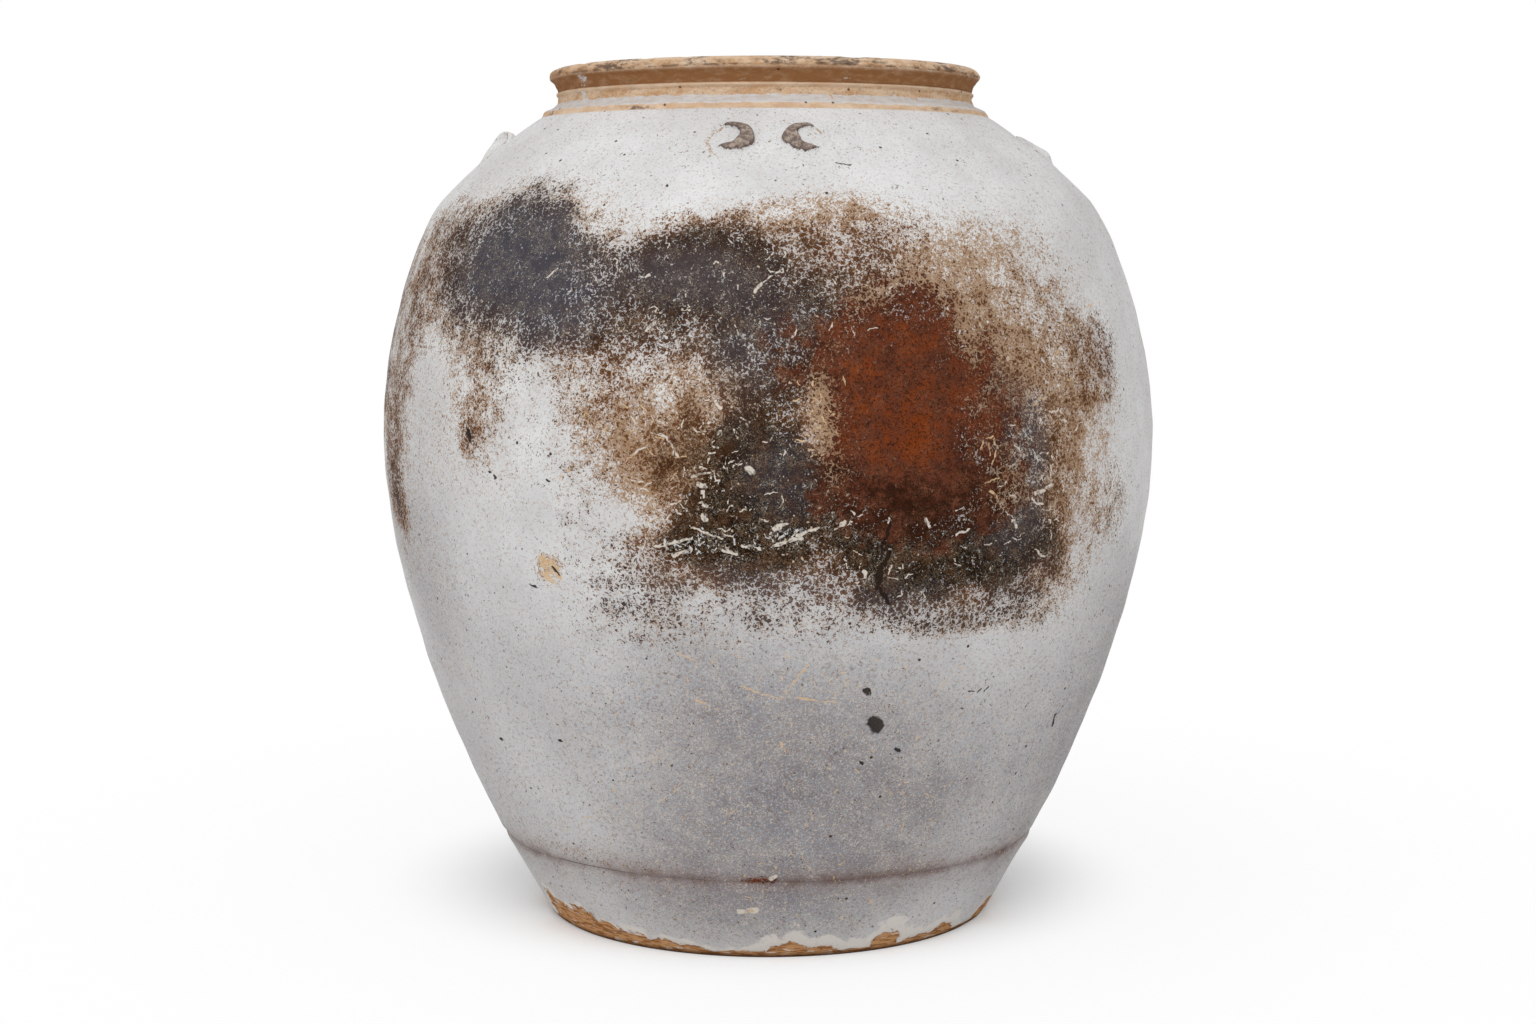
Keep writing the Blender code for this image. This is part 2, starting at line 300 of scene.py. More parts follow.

# %% [markdown]
# ## The stains
#
# The burn stain is a handful of soft patches, each placed on the photograph: where its middle is, how
# wide and tall it is, and how strong. `layered` carries them onto the jar and `spot` frays each one's
# edge with two sizes of drift. Soot, brown, blue, rust and ochre stay separate layers, so the finish
# can break each up in its own way.

# %% Place the stain patches
PIXEL = 0.468 * MM
LEAST_SEEN = 0.35
FRAY_WIDE = 30.0 * MM
FRAY_FINE = 11.0 * MM
FAR_SOFT = 0.8
FAR_FRAY = 0.3


def seen_share(angle):
    """How much of a width the camera sees at an angle round the jar, with a limit near the sides."""
    return max(math.cos(angle), LEAST_SEEN)


def spot(angle, height, middle, half_angle, half_height, strength, soft, fray, seed):
    """One soft-edged patch of stain about a middle (angle, height), as a strength at every point."""
    turn = (angle - middle[0] + math.pi) % (2.0 * math.pi) - math.pi
    distance = np.hypot(turn / half_angle, (height - middle[1]) / half_height)
    distance = distance + fray * drift(angle, height, FRAY_WIDE, seed)
    distance = distance + 0.6 * fray * drift(angle, height, FRAY_FINE, seed + 50)
    return strength * (1.0 - eased(distance, 1.0 - soft, 1.0 + soft))


def layered(angle, height, patches, fray=0.14):
    """Patches placed by pixel, laid over each other, each stronger where they meet."""
    clear = np.ones_like(angle)
    for across, down, half_width, half_height, strength, soft in patches:
        middle = on_jar(across, down)
        half_angle = half_width * PIXEL / (skin_radius(middle[1]) * seen_share(middle[0]))
        seed = int(across + 3 * down)
        cover = spot(angle, height, middle, half_angle, half_height * PIXEL, strength, soft, fray, seed)
        clear = clear * (1.0 - np.clip(cover, 0.0, 1.0))
    return 1.0 - clear


# each patch: across, down, half width, half height in pixels, then strength and softness
SOOT_PATCHES = [
    (525, 266, 72, 60, 0.92, 0.55), (462, 262, 46, 46, 0.66, 0.60), (534, 202, 38, 22, 0.50, 0.70),
    (452, 222, 24, 28, 0.36, 0.75), (418, 290, 18, 70, 0.34, 0.80), (440, 320, 24, 36, 0.24, 0.80),
    (575, 318, 56, 34, 0.50, 0.65), (490, 346, 44, 26, 0.18, 0.80), (690, 276, 92, 50, 0.92, 0.50),
    (706, 238, 50, 18, 0.40, 0.70), (644, 266, 34, 24, 0.22, 0.80), (786, 284, 66, 48, 0.58, 0.65),
    (790, 246, 40, 22, 0.26, 0.80), (610, 300, 40, 34, 0.26, 0.75), (860, 240, 62, 26, 0.28, 0.80),
    (778, 336, 80, 50, 0.74, 0.60), (640, 334, 110, 20, 0.46, 0.70), (580, 276, 22, 40, 0.40, 0.75),
    (545, 345, 50, 30, 0.24, 0.80), (778, 232, 30, 26, 0.20, 0.80), (880, 226, 40, 22, 0.32, 0.80),
    (602, 394, 34, 36, 0.42, 0.85), (752, 464, 44, 56, 0.95, 0.50), (764, 468, 30, 36, 0.55, 0.75),
    (786, 488, 40, 40, 0.85, 0.50), (694, 448, 60, 46, 0.66, 0.70), (676, 496, 26, 34, 0.36, 0.75),
    (728, 536, 62, 46, 0.97, 0.50), (716, 544, 40, 22, 0.40, 0.75), (664, 566, 34, 30, 0.26, 0.80),
    (646, 598, 44, 32, 0.20, 0.85), (640, 352, 44, 24, 0.28, 0.80), (636, 462, 30, 24, 0.34, 0.80),
    (652, 554, 34, 20, 0.28, 0.80), (580, 470, 34, 40, 0.20, 0.90), (650, 632, 74, 24, 0.22, 0.90),
    (788, 614, 44, 22, 0.36, 0.85), (1030, 616, 40, 16, 0.34, 0.85), (846, 522, 28, 20, 0.80, 0.70),
    (876, 262, 30, 18, 0.38, 0.80), (396, 490, 12, 40, 0.50, 0.80), (965, 262, 44, 34, 0.14, 0.90),
    (796, 580, 34, 24, 0.34, 0.80), (842, 490, 32, 44, 0.60, 0.75), (822, 410, 30, 56, 0.16, 0.85),
    (774, 540, 44, 36, 0.92, 0.48), (903, 556, 80, 46, 0.96, 0.48), (984, 554, 92, 46, 0.98, 0.48),
    (910, 548, 76, 24, 0.60, 0.70), (1000, 548, 60, 24, 0.40, 0.70), (740, 588, 54, 26, 0.30, 0.75),
    (948, 606, 84, 26, 0.56, 0.70), (1034, 586, 40, 24, 0.45, 0.70), (1016, 480, 50, 70, 0.24, 0.85),
    (1090, 364, 26, 44, 0.50, 0.65), (1044, 410, 30, 50, 0.40, 0.80), (1044, 322, 32, 44, 0.32, 0.85),
    (1060, 476, 34, 70, 0.40, 0.80), (1112, 510, 24, 40, 0.28, 0.85), (1024, 406, 22, 30, 0.28, 0.85),
    (1108, 352, 12, 40, 0.34, 0.85), (500, 404, 60, 70, 0.14, 0.90), (846, 330, 48, 42, 0.55, 0.75),
    (926, 420, 70, 100, 0.40, 0.75), (928, 500, 60, 26, 0.60, 0.75), (946, 474, 50, 36, 0.92, 0.75),
    (984, 404, 30, 64, 0.60, 0.75), (468, 436, 13, 24, 0.52, 0.60), (480, 384, 22, 60, 0.20, 0.80),
    (394, 410, 16, 116, 0.54, 0.70), (606, 560, 44, 50, 0.20, 0.80), (640, 600, 70, 24, 0.16, 0.80),
    (786, 448, 26, 50, 0.45, 0.75), (545, 186, 40, 14, 0.14, 0.85), (424, 290, 20, 40, 0.20, 0.85),
    (464, 330, 20, 20, 0.28, 0.80), (1016, 450, 24, 40, 0.28, 0.85), (520, 262, 50, 42, 0.80, 0.55),
    (690, 270, 60, 34, 0.60, 0.60), (772, 392, 42, 30, 0.60, 0.75), (1076, 412, 20, 24, 0.28, 0.85),
    (974, 326, 36, 56, 0.40, 0.85), (772, 470, 34, 32, 0.60, 0.75), (1030, 484, 30, 36, 0.28, 0.85),
    (716, 388, 30, 24, 0.26, 0.85), (836, 518, 30, 24, 0.60, 0.70), (650, 366, 80, 26, 0.20, 0.85),
    (612, 418, 60, 40, 0.07, 0.85), (1014, 356, 20, 34, 0.16, 0.85), (884, 272, 50, 16, 0.26, 0.80),
    (810, 624, 90, 16, 0.12, 0.90), (790, 414, 20, 40, 0.42, 0.80),
]
BLUE_PATCHES = [
    (512, 258, 66, 56, 1.00, 0.60), (558, 300, 46, 40, 0.95, 0.55), (702, 278, 70, 24, 0.45, 0.70),
    (786, 480, 40, 40, 0.36, 0.60), (1028, 446, 20, 52, 0.95, 0.55), (776, 352, 56, 34, 0.50, 0.70),
    (1010, 526, 36, 26, 0.45, 0.70), (986, 416, 28, 56, 0.75, 0.70), (740, 598, 140, 26, 0.60, 0.70),
]
BROWN_PATCHES = [
    (730, 540, 130, 66, 1.00, 0.50), (880, 560, 220, 60, 0.95, 0.50), (680, 446, 84, 60, 1.00, 0.60),
    (610, 405, 76, 66, 0.95, 0.60), (1060, 400, 76, 140, 0.95, 0.60), (870, 240, 100, 50, 0.90, 0.60),
    (700, 222, 110, 24, 0.70, 0.60), (806, 410, 50, 60, 0.95, 0.60), (640, 330, 120, 36, 0.60, 0.60),
    (468, 434, 44, 66, 0.95, 0.60), (394, 420, 34, 150, 0.80, 0.60), (440, 270, 30, 60, 0.40, 0.60),
    (940, 390, 150, 150, 1.00, 0.50),
]
RUST_PATCHES = [
    (911, 406, 66, 92, 0.98, 0.72), (908, 338, 46, 44, 0.48, 0.90), (906, 446, 46, 56, 0.70, 0.80),
    (978, 342, 40, 60, 0.09, 0.95), (850, 424, 30, 60, 0.28, 0.95), (990, 430, 46, 70, 0.15, 0.95),
    (930, 488, 76, 40, 0.85, 0.80), (926, 306, 30, 24, 0.26, 0.95), (866, 356, 32, 42, 0.40, 0.95),
    (806, 360, 36, 30, 0.30, 0.90), (762, 881, 22, 4, 0.55, 0.70), (848, 400, 22, 44, 0.22, 0.95),
]
GLOW_PATCHES = [
    (908, 438, 38, 36, 0.90, 0.80), (880, 404, 34, 62, 0.42, 0.80), (926, 400, 40, 40, 0.40, 0.80),
    (900, 336, 44, 40, 0.52, 0.80), (926, 366, 110, 100, 0.28, 0.60), (986, 390, 36, 60, 0.30, 0.80),
    (848, 400, 26, 60, 0.50, 0.85), (762, 880, 20, 8, 0.70, 0.80),
]
OCHRE_PATCHES = [
    (850, 212, 60, 14, 0.60, 0.80), (740, 222, 90, 18, 0.40, 0.85), (572, 216, 50, 28, 0.34, 0.85),
    (1050, 290, 60, 60, 0.14, 0.90), (520, 198, 60, 22, 0.22, 0.85), (965, 258, 48, 32, 0.62, 0.80),
    (1000, 300, 44, 60, 0.34, 0.85), (992, 362, 40, 56, 0.72, 0.85), (1040, 440, 50, 80, 0.44, 0.85),
    (834, 408, 34, 62, 0.95, 0.65), (676, 458, 76, 56, 0.85, 0.80), (700, 390, 50, 40, 0.30, 0.85),
    (600, 400, 50, 60, 0.30, 0.85), (724, 414, 50, 60, 0.50, 0.85), (1104, 500, 24, 50, 0.30, 0.85),
    (470, 320, 50, 40, 0.34, 0.85), (1076, 390, 44, 90, 0.56, 0.85), (549, 566, 14, 16, 0.85, 0.60),
    (712, 520, 44, 60, 0.55, 0.85), (474, 420, 34, 66, 0.36, 0.85), (1046, 520, 60, 90, 0.50, 0.85),
    (900, 280, 90, 40, 0.40, 0.85), (430, 250, 40, 60, 0.28, 0.85), (394, 420, 40, 140, 0.26, 0.85),
    (640, 478, 40, 26, 0.22, 0.85), (846, 400, 14, 50, 0.50, 0.80), (560, 848, 50, 8, 0.26, 0.85),
    (640, 868, 60, 7, 0.22, 0.85), (960, 858, 60, 7, 0.20, 0.85), (594, 282, 28, 30, 0.30, 0.85),
    (830, 204, 50, 12, 0.40, 0.85), (958, 246, 32, 22, 0.36, 0.85), (1026, 248, 30, 34, 0.24, 0.85),
    (975, 345, 34, 40, 0.40, 0.85), (1022, 372, 40, 40, 0.34, 0.85),
]
FLAKE_PATCHES = [
    (700, 512, 50, 40, 0.32, 0.60), (790, 536, 25, 13, 0.85, 0.50), (690, 545, 60, 12, 0.52, 0.50),
    (860, 560, 150, 40, 0.14, 0.70), (980, 540, 90, 36, 0.10, 0.70), (660, 348, 70, 18, 0.50, 0.70),
    (985, 310, 50, 56, 0.45, 0.80), (1050, 330, 40, 50, 0.40, 0.80),
]
# grey glaze; the broad patch over the lower middle and the tall ones down the sides at (416, 556) and
# (1084, 704) also paint shade
GREY_AND_SHADE_PATCHES = [
    (798, 800, 168, 110, 0.77, 0.85), (764, 690, 124, 74, 0.36, 0.85), (930, 820, 130, 84, 0.22, 0.85),
    (752, 898, 126, 48, 0.58, 0.80), (1084, 704, 40, 154, 0.50, 0.85), (416, 556, 38, 90, 0.40, 0.85),
    (664, 676, 84, 54, 0.17, 0.90), (420, 440, 30, 90, 0.14, 0.90),
]
# stains the photograph doesn't show: angle in degrees, height, half width, half height in mm, strength
FAR_SOOT = [
    (-84.0, 300.0, 34.0, 60.0, 0.60), (-104.0, 268.0, 40.0, 34.0, 0.45), (96.0, 250.0, 30.0, 40.0, 0.36),
    (170.0, 330.0, 46.0, 22.0, 0.34),
]
FAR_OCHRE = [
    (-98.0, 290.0, 60.0, 70.0, 0.55), (100.0, 270.0, 50.0, 60.0, 0.45), (165.0, 325.0, 80.0, 40.0, 0.50),
    (200.0, 150.0, 30.0, 24.0, 0.40),
]


def far_layer(angle, height, spots, seed):
    """Stains on the sides and back, placed by angle and height."""
    total = np.zeros_like(angle)
    for index, (degrees, middle_height, half_width, half_height, strength) in enumerate(spots):
        middle = (math.radians(degrees), middle_height * MM)
        size = half_width * MM / skin_radius(middle[1]), half_height * MM
        cover = spot(angle, height, middle, *size, strength, FAR_SOFT, FAR_FRAY, seed + index)
        total = np.maximum(total, cover)
    return total


def low_grey(angle, height):
    """The glaze cools and greys towards the foot, all round."""
    wavy = height + 20.0 * MM * drift(angle, height, 60.0 * MM, 81)
    low = 1.0 - eased(wavy, 60.0 * MM, 270.0 * MM)
    return 0.30 * low * eased(height, -20.0 * MM, 40.0 * MM)


def stain_layers(angle, height):
    """Every stain layer at every point of a wall."""
    soot = layered(angle, height, SOOT_PATCHES)
    ochre = layered(angle, height, OCHRE_PATCHES)
    grey = layered(angle, height, GREY_AND_SHADE_PATCHES)
    brown = layered(angle, height, BROWN_PATCHES)
    return {
        "soot": np.maximum(soot, far_layer(angle, height, FAR_SOOT, 301)),
        "blue": layered(angle, height, BLUE_PATCHES),
        "brown": np.maximum(brown, eased(-np.cos(angle), -0.2, 0.1)),
        "rust": layered(angle, height, RUST_PATCHES),
        "glow": layered(angle, height, GLOW_PATCHES),
        "ochre": np.maximum(ochre, far_layer(angle, height, FAR_OCHRE, 401)),
        "flake": layered(angle, height, FLAKE_PATCHES),
        "grey": 1.0 - (1.0 - grey) * (1.0 - low_grey(angle, height)),
    }


print(f"{len(SOOT_PATCHES)} soot patches, {len(RUST_PATCHES)} rust patches")

# %% [markdown]
# ## A paint box for finishes
#
# Shader nodes are wordy in code, so two small classes give them short names. A `Wire` is what comes out
# of a node. Wires are added and multiplied as numbers are, and each sum quietly makes the node for it.

# %% Make the wires
def shade(red, green, blue):
    """A colour picked on screen, 0 to 255, as the linear numbers a shader wants."""
    levels = [value / 255.0 for value in (red, green, blue)]
    linear = [v / 12.92 if v <= 0.04045 else ((v + 0.055) / 1.055) ** 2.4 for v in levels]
    return (*linear, 1.0)


class Wire:
    """What comes out of a node: a number, a colour or a direction that varies over the surface."""

    def __init__(self, paint, node, output):
        self.paint, self.node, self.output = paint, node, output

    def also(self, output):
        """Another output of the same node."""
        return Wire(self.paint, self.node, output)

    def __add__(self, other):
        return self.paint.math("ADD", self, other)

    def __sub__(self, other):
        return self.paint.math("SUBTRACT", self, other)

    def __mul__(self, other):
        return self.paint.math("MULTIPLY", self, other)

    def __abs__(self):
        return self.paint.math("ABSOLUTE", self)

    def most(self, other):
        """The larger of two numbers."""
        return self.paint.math("MAXIMUM", self, other)

    def step(self, low, high, start=0.0, end=1.0):
        """A smooth step from start, below low, to end, above high."""
        smooth = {"interpolation_type": "SMOOTHSTEP"}
        limits = {"From_Min": low, "From_Max": high, "To_Min": start, "To_Max": end}
        return self.paint.add("ShaderNodeMapRange", smooth, Value=self, **limits)

    def coat(self, share, over):
        """This colour with a share of another laid over it."""
        return self.paint.mix(share, self, over)


# %% [markdown]
# `Paint` makes the nodes themselves, so that a finish reads like a glaze recipe: a noise of a size, a
# step between two values, a coat laid over a colour. Sizes are in metres on the jar itself, so a grain
# of a millimetre is a millimetre from every side.

# %% Make the paint box
SHEEN = 0.03


class Paint:
    """A finish under construction, on a new material or world."""

    def __init__(self, holder, coordinates="Object"):
        self.holder = holder
        holder.use_nodes = True
        self.tree = holder.node_tree
        self.tree.nodes.clear()
        self.place = self.add("ShaderNodeTexCoord", None, coordinates)

    def add(self, kind, settings=None, output=0, **inputs):
        """A node and its output; inputs are numbers, colours or wires, named or _numbered."""
        node = self.tree.nodes.new(kind)
        for key, value in (settings or {}).items():
            setattr(node, key, value)
        for key, value in inputs.items():
            socket = node.inputs[int(key[1:]) if key[0] == "_" else key.replace("_", " ")]
            if isinstance(value, Wire):
                self.tree.links.new(value.node.outputs[value.output], socket)
            else:
                socket.default_value = value
        return Wire(self, node, output)

    def math(self, operation, first, second=0.0):
        return self.add("ShaderNodeMath", {"operation": operation}, _0=first, _1=second)

    def arrow(self, operation, first, second=(0.0, 0.0, 0.0), **inputs):
        """The same for directions."""
        return self.add("ShaderNodeVectorMath", {"operation": operation}, _0=first, _1=second, **inputs)

    def noise(self, size, detail=2.0, roughness=0.5, warp=0.0, place=None):
        form = {"Scale": 1.0 / size, "Detail": detail, "Roughness": roughness, "Distortion": warp}
        return self.add("ShaderNodeTexNoise", None, "Fac", Vector=place or self.place, **form)

    def cells(self, size, feature="F1", place=None):
        """A net of cells: the distance from each cell's seed, or from its edge."""
        net = {"Vector": place or self.place, "Scale": 1.0 / size}
        return self.add("ShaderNodeTexVoronoi", {"feature": feature}, "Distance", **net)

    def dots(self, size, edge, chosen, place=None, strength=1.0):
        """A round dot in some cells of a net: where its edge lies, and which cells are chosen."""
        cell = self.cells(size, place=place)
        return cell.step(*edge, strength, 0.0) * cell.also("Color").step(*chosen)

    def stretched(self, rise):
        """Places squeezed in height, which draws a noise out round the jar."""
        return self.add("ShaderNodeMapping", Vector=self.place, Scale=(1.0, 1.0, rise))

    def mix(self, share, under, over):
        return self.add("ShaderNodeMix", {"data_type": "RGBA"}, 2, _0=share, _6=under, _7=over)

    def blend(self, share, under, over):
        """The same for numbers."""
        return self.add("ShaderNodeMix", {"data_type": "FLOAT"}, _0=share, _2=under, _3=over)

    def layer(self, name):
        """A number that was stored on the piece under a name."""
        return self.add("ShaderNodeAttribute", {"attribute_name": name}, "Fac")

    def finish(self, colour, roughness, relief, depth):
        """Joins colour, roughness and relief height, in metres of depth, into a surface."""
        bump = self.add("ShaderNodeBump", Strength=1.0, Distance=depth, Height=relief)
        sheen = {"Roughness": roughness, "Specular_IOR_Level": SHEEN}
        shader = self.add("ShaderNodeBsdfPrincipled", Base_Color=colour, Normal=bump, **sheen)
        self.add("ShaderNodeOutputMaterial", Surface=shader)
        print(self.holder.name, "made of", len(self.tree.nodes), "nodes")
        return self.holder


# %% [markdown]
# ## Listed marks
#
# Scratches, chips, pits and drips are strokes: a line from one spot to another, with a width. So is a
# painted highlight beside one dark dent. The ones that the eye goes to are placed one by one. The
# little curls between them are scattered over fields by chance, with a fixed seed, so that they fall
# the same way each time.

# %% Place the marks
# each stroke: across and down of one end, then of the other end, then its width, all in pixels
# the stroke from (891, 566) to (888, 578) is a painted highlight beside the dark dent; the rest are pale
# marks
PALE_STROKES = [
    (756, 292, 766, 281, 5.0), (764, 283, 783, 269, 2.6), (652, 432, 667, 438, 3.0),
    (667, 438, 679, 457, 3.2), (698, 484, 705, 486, 7.0), (703, 492, 703, 496, 6.0),
    (700, 503, 706, 505, 6.0), (702, 514, 706, 520, 5.0), (774, 529, 786, 524, 6.5),
    (776, 545, 800, 538, 5.5), (796, 536, 818, 528, 4.5), (690, 527, 722, 538, 2.4),
    (655, 547, 692, 538, 4.0), (672, 556, 690, 549, 4.5), (722, 550, 736, 554, 5.0),
    (742, 546, 760, 548, 4.0), (925, 519, 929, 527, 4.0), (548, 276, 559, 268, 2.4),
    (648, 330, 656, 322, 4.5), (792, 338, 797, 330, 3.0), (716, 402, 721, 408, 4.5),
    (748, 469, 752, 472, 8.0), (692, 477, 714, 470, 3.0), (632, 454, 647, 446, 2.6),
    (840, 525, 846, 523, 5.0), (955, 534, 968, 530, 4.0), (1034, 494, 1044, 490, 6.0),
    (1046, 488, 1052, 484, 5.0), (1012, 518, 1016, 526, 5.0), (864, 572, 866, 576, 5.0),
    (891, 566, 888, 578, 2.0), (770, 880, 776, 875, 6.0), (741, 911, 756, 909, 10.0),
    (795, 924, 799, 925, 5.0),
]
TAN_STROKES = [
    (980, 450, 983, 440, 2.4), (983, 440, 992, 437, 2.6), (992, 437, 997, 447, 3.2),
    (997, 447, 992, 463, 3.0), (988, 445, 991, 456, 1.8), (984, 484, 999, 478, 2.4),
    (990, 490, 997, 497, 4.0), (741, 686, 781, 699, 2.6), (781, 699, 808, 664, 2.0),
    (797, 697, 835, 702, 2.4), (676, 652, 700, 663, 2.4), (697, 701, 705, 704, 4.0),
    (543, 560, 551, 573, 15.0), (552, 561, 556, 569, 11.0), (544, 574, 552, 580, 10.0),
    (556, 572, 560, 577, 9.0), (780, 742, 786, 752, 3.4), (746, 911, 752, 910, 5.0),
]
DARK_STROKES = [
    (890, 522, 881, 556, 3.4), (888, 556, 880, 570, 6.0), (880, 570, 878, 588, 10.0),
    (879, 588, 888, 602, 6.0), (553, 566, 560, 575, 2.8), (531, 585, 536, 587, 4.0),
    (489, 471, 491, 472, 4.0), (494, 476, 495, 478, 3.4), (546, 480, 548, 481, 4.0),
    (873, 722, 877, 727, 20.0), (866, 691, 868, 692, 10.0), (896, 749, 898, 750, 6.0),
    (1055, 714, 1053, 725, 6.0), (968, 691, 974, 690, 2.2), (978, 692, 981, 688, 2.2),
    (984, 690, 988, 687, 2.2), (838, 164, 854, 166, 2.0), (669, 185, 670, 186, 4.5),
    (500, 738, 502, 739, 3.4), (560, 740, 562, 741, 4.0), (860, 762, 862, 763, 4.0),
    (612, 780, 613, 781, 3.0), (468, 432, 470, 440, 9.0),
]
# each field of curls: across, down, half width, half height, how many, their length and width, in pixels
PALE_CURLS = [
    (690, 288, 130, 50, 30, 9, 2.2), (846, 296, 60, 50, 18, 8, 2.2), (716, 500, 84, 60, 34, 12, 2.4),
    (900, 552, 150, 44, 28, 11, 2.3), (1044, 480, 40, 70, 30, 11, 2.4), (640, 396, 70, 44, 24, 9, 2.2),
    (690, 452, 56, 40, 26, 10, 2.4),
]
TAN_CURLS = [
    (770, 740, 200, 90, 90, 7, 1.9), (770, 890, 150, 40, 24, 8, 2.0), (822, 412, 26, 46, 24, 8, 2.6),
    (620, 440, 70, 44, 20, 9, 2.4), (1060, 380, 40, 90, 20, 9, 2.2),
]


def curls(fields, seed):
    """Little bent strokes scattered over fields, in two parts each."""
    chance = np.random.default_rng(seed)
    strokes = []
    for across, down, half_width, half_height, count, length, width in fields:
        for _ in range(count):
            aside, below = chance.uniform(-1.0, 1.0), chance.uniform(-1.0, 1.0)
            start = (across + half_width * aside, down + half_height * below)
            way, bend = chance.uniform(0.0, 2.0 * math.pi), chance.normal(0.0, 0.8)
            half, thick = length * chance.uniform(0.2, 0.55), width * chance.uniform(0.6, 1.2)
            knee = (start[0] + half * math.cos(way), start[1] + half * math.sin(way))
            end = (knee[0] + half * math.cos(way + bend), knee[1] + half * math.sin(way + bend))
            strokes += [(*start, *knee, thick), (*knee, *end, thick * 0.8)]
    return strokes


# %% [markdown]
# Every face of a wall remembers its nearest stroke, and its corners store how far along and across that
# stroke they lie. Such numbers run evenly over a face, so the finish can draw a line much finer than
# the mesh.

# %% Store the marks
STROKES = {
    "pale": PALE_STROKES + curls(PALE_CURLS, 5),
    "tan": TAN_STROKES + curls(TAN_CURLS, 6),
    "dark": DARK_STROKES,
}
STROKE_REACH = 24.0 * MM
HALF_STROKE = 0.42


def jar_point(across, down):
    """The spot on the leaning jar behind a pixel, and the direction that stands off it."""
    angle, height = on_jar(across, down)
    radius = skin_radius(height)
    fall = (skin_radius(height + MM) - skin_radius(height - MM)) / (2.0 * MM)
    normal = np.array([math.sin(angle), -math.cos(angle), -fall])
    return np.array([radius * math.sin(angle) - lean_at(height), -radius * math.cos(angle), height]), normal


def store_corners(piece, name, form, key, values):
    """Stores values, faces by 4 corners by numbers, on a piece's first faces."""
    layer = piece.data.attributes.new(name, form, "CORNER")
    full = np.zeros(len(piece.data.loops) * values.shape[-1], dtype=np.float32)
    full[: values.size] = values.ravel()
    layer.data.foreach_set(key, full)


def store_strokes(piece, corners, kind):
    """Gives every face of a wall its nearest stroke of a kind. corners is faces by 4 corners by 3."""
    middles = corners.mean(axis=1)
    nearest = np.full(len(corners), 1.0)
    at = np.zeros((len(corners), 4, 3), dtype=np.float32)
    width = np.zeros((len(corners), 4), dtype=np.float32)
    for across, down, end_across, end_down, pixels in STROKES[kind]:
        start, normal = jar_point(across, down)
        along = jar_point(end_across, end_down)[0] - start
        length = np.linalg.norm(along)
        along = along / length
        sideways = np.cross(along, normal / np.linalg.norm(normal))
        close = np.nonzero((np.abs(middles[:, 2] - start[2]) < STROKE_REACH) & (middles[:, 1] < 0.0))[0]
        reach = np.clip((middles[close] - start) @ along, 0.0, length)
        far = np.linalg.norm(middles[close] - start - reach[:, None] * along, axis=1)
        mine = close[far < nearest[close]]
        nearest[close] = np.minimum(nearest[close], far)
        offset = corners[mine] - start
        at[mine, :, 0] = offset @ along - length / 2.0
        at[mine, :, 1] = offset @ sideways
        at[mine, :, 2] = length / 2.0
        width[mine] = pixels * PIXEL * HALF_STROKE
    store_corners(piece, f"{kind}_at", "FLOAT_VECTOR", "vector", at)
    store_corners(piece, f"{kind}_width", "FLOAT", "value", width[..., None])


def mark_piece(piece, ring_count):
    """Stores all strokes on a wall's outer faces, which come first."""
    points = np.empty(len(piece.data.vertices) * 3)
    piece.data.vertices.foreach_get("co", points)
    faces = (ring_count - 1) * SEGMENTS
    order = np.empty(len(piece.data.loops), dtype=np.int32)
    piece.data.loops.foreach_get("vertex_index", order)
    corners = points.reshape(-1, 3)[order[: faces * 4]].reshape(faces, 4, 3)
    for kind in STROKES:
        store_strokes(piece, corners, kind)


def drawn_strokes(paint, kind, wander):
    """The mask of a kind of stroke, with its edge made ragged."""
    at = paint.add("ShaderNodeAttribute", {"attribute_name": f"{kind}_at"}, "Vector")
    along = paint.add("ShaderNodeSeparateXYZ", Vector=paint.arrow("ADD", at, wander))
    across, half = along.also("Y"), along.also("Z")
    width = paint.layer(f"{kind}_width")
    beyond = (abs(along) - half).most(0.0)
    distance = paint.math("SQRT", beyond * beyond + across * across)
    return distance.step(width, width * 0.65) * paint.math("GREATER_THAN", width, 1e-5)


print(", ".join(f"{len(strokes)} {kind} strokes" for kind, strokes in STROKES.items()))

# %% [markdown]
# ## The glaze
#
# The glaze is a recipe of thin coats. Under everything lies a pale ash-grey with a fine grain and
# cooler, lilac pools low down, which over the lower middle and down both sides also paint shade. Over
# it come ochre tints, soot that breaks up into stipple, the rust burn, bright flakes where soot has
# worn off, pinholes, and the marks. Where the glaze never took, bare clay shows.

# %% Choose the glaze's colours
GLAZE_PALE = shade(221, 221, 221)
GLAZE_ASH = shade(207, 206, 206)
GLAZE_GREY = shade(118, 112, 115)
GREY_COOL = shade(106, 105, 113)
GREY_WARM = shade(110, 106, 110)
CREAM = shade(206, 188, 164)
WORN_CREAM_AND_HIGHLIGHT = shade(214, 204, 192)
LIGHT_GRAIN = shade(198, 197, 200)
OCHRE = shade(150, 106, 46)
CHARCOAL = shade(64, 51, 48)
BLUE_GREY = shade(67, 65, 72)
BLACK_BROWN = shade(15, 9, 5)
OLIVE_BROWN = shade(98, 59, 32)
RUST_DARK = shade(44, 23, 13)
RUST_RED = shade(92, 51, 36)
RUST_ORANGE = shade(119, 55, 22)
RUST_THREAD = shade(150, 96, 66)
PINHOLE_AND_SHADOW = shade(66, 42, 26)
FRINGE_BROWN = shade(92, 62, 37)
DARK_MARK = shade(38, 29, 24)
TAN_FLECK = shade(206, 176, 138)
BARE_CLAY = shade(196, 150, 106)
BARE_DARK = shade(146, 100, 63)
SCAR_GREY = shade(112, 99, 92)
SCAR_TAN = shade(172, 156, 144)
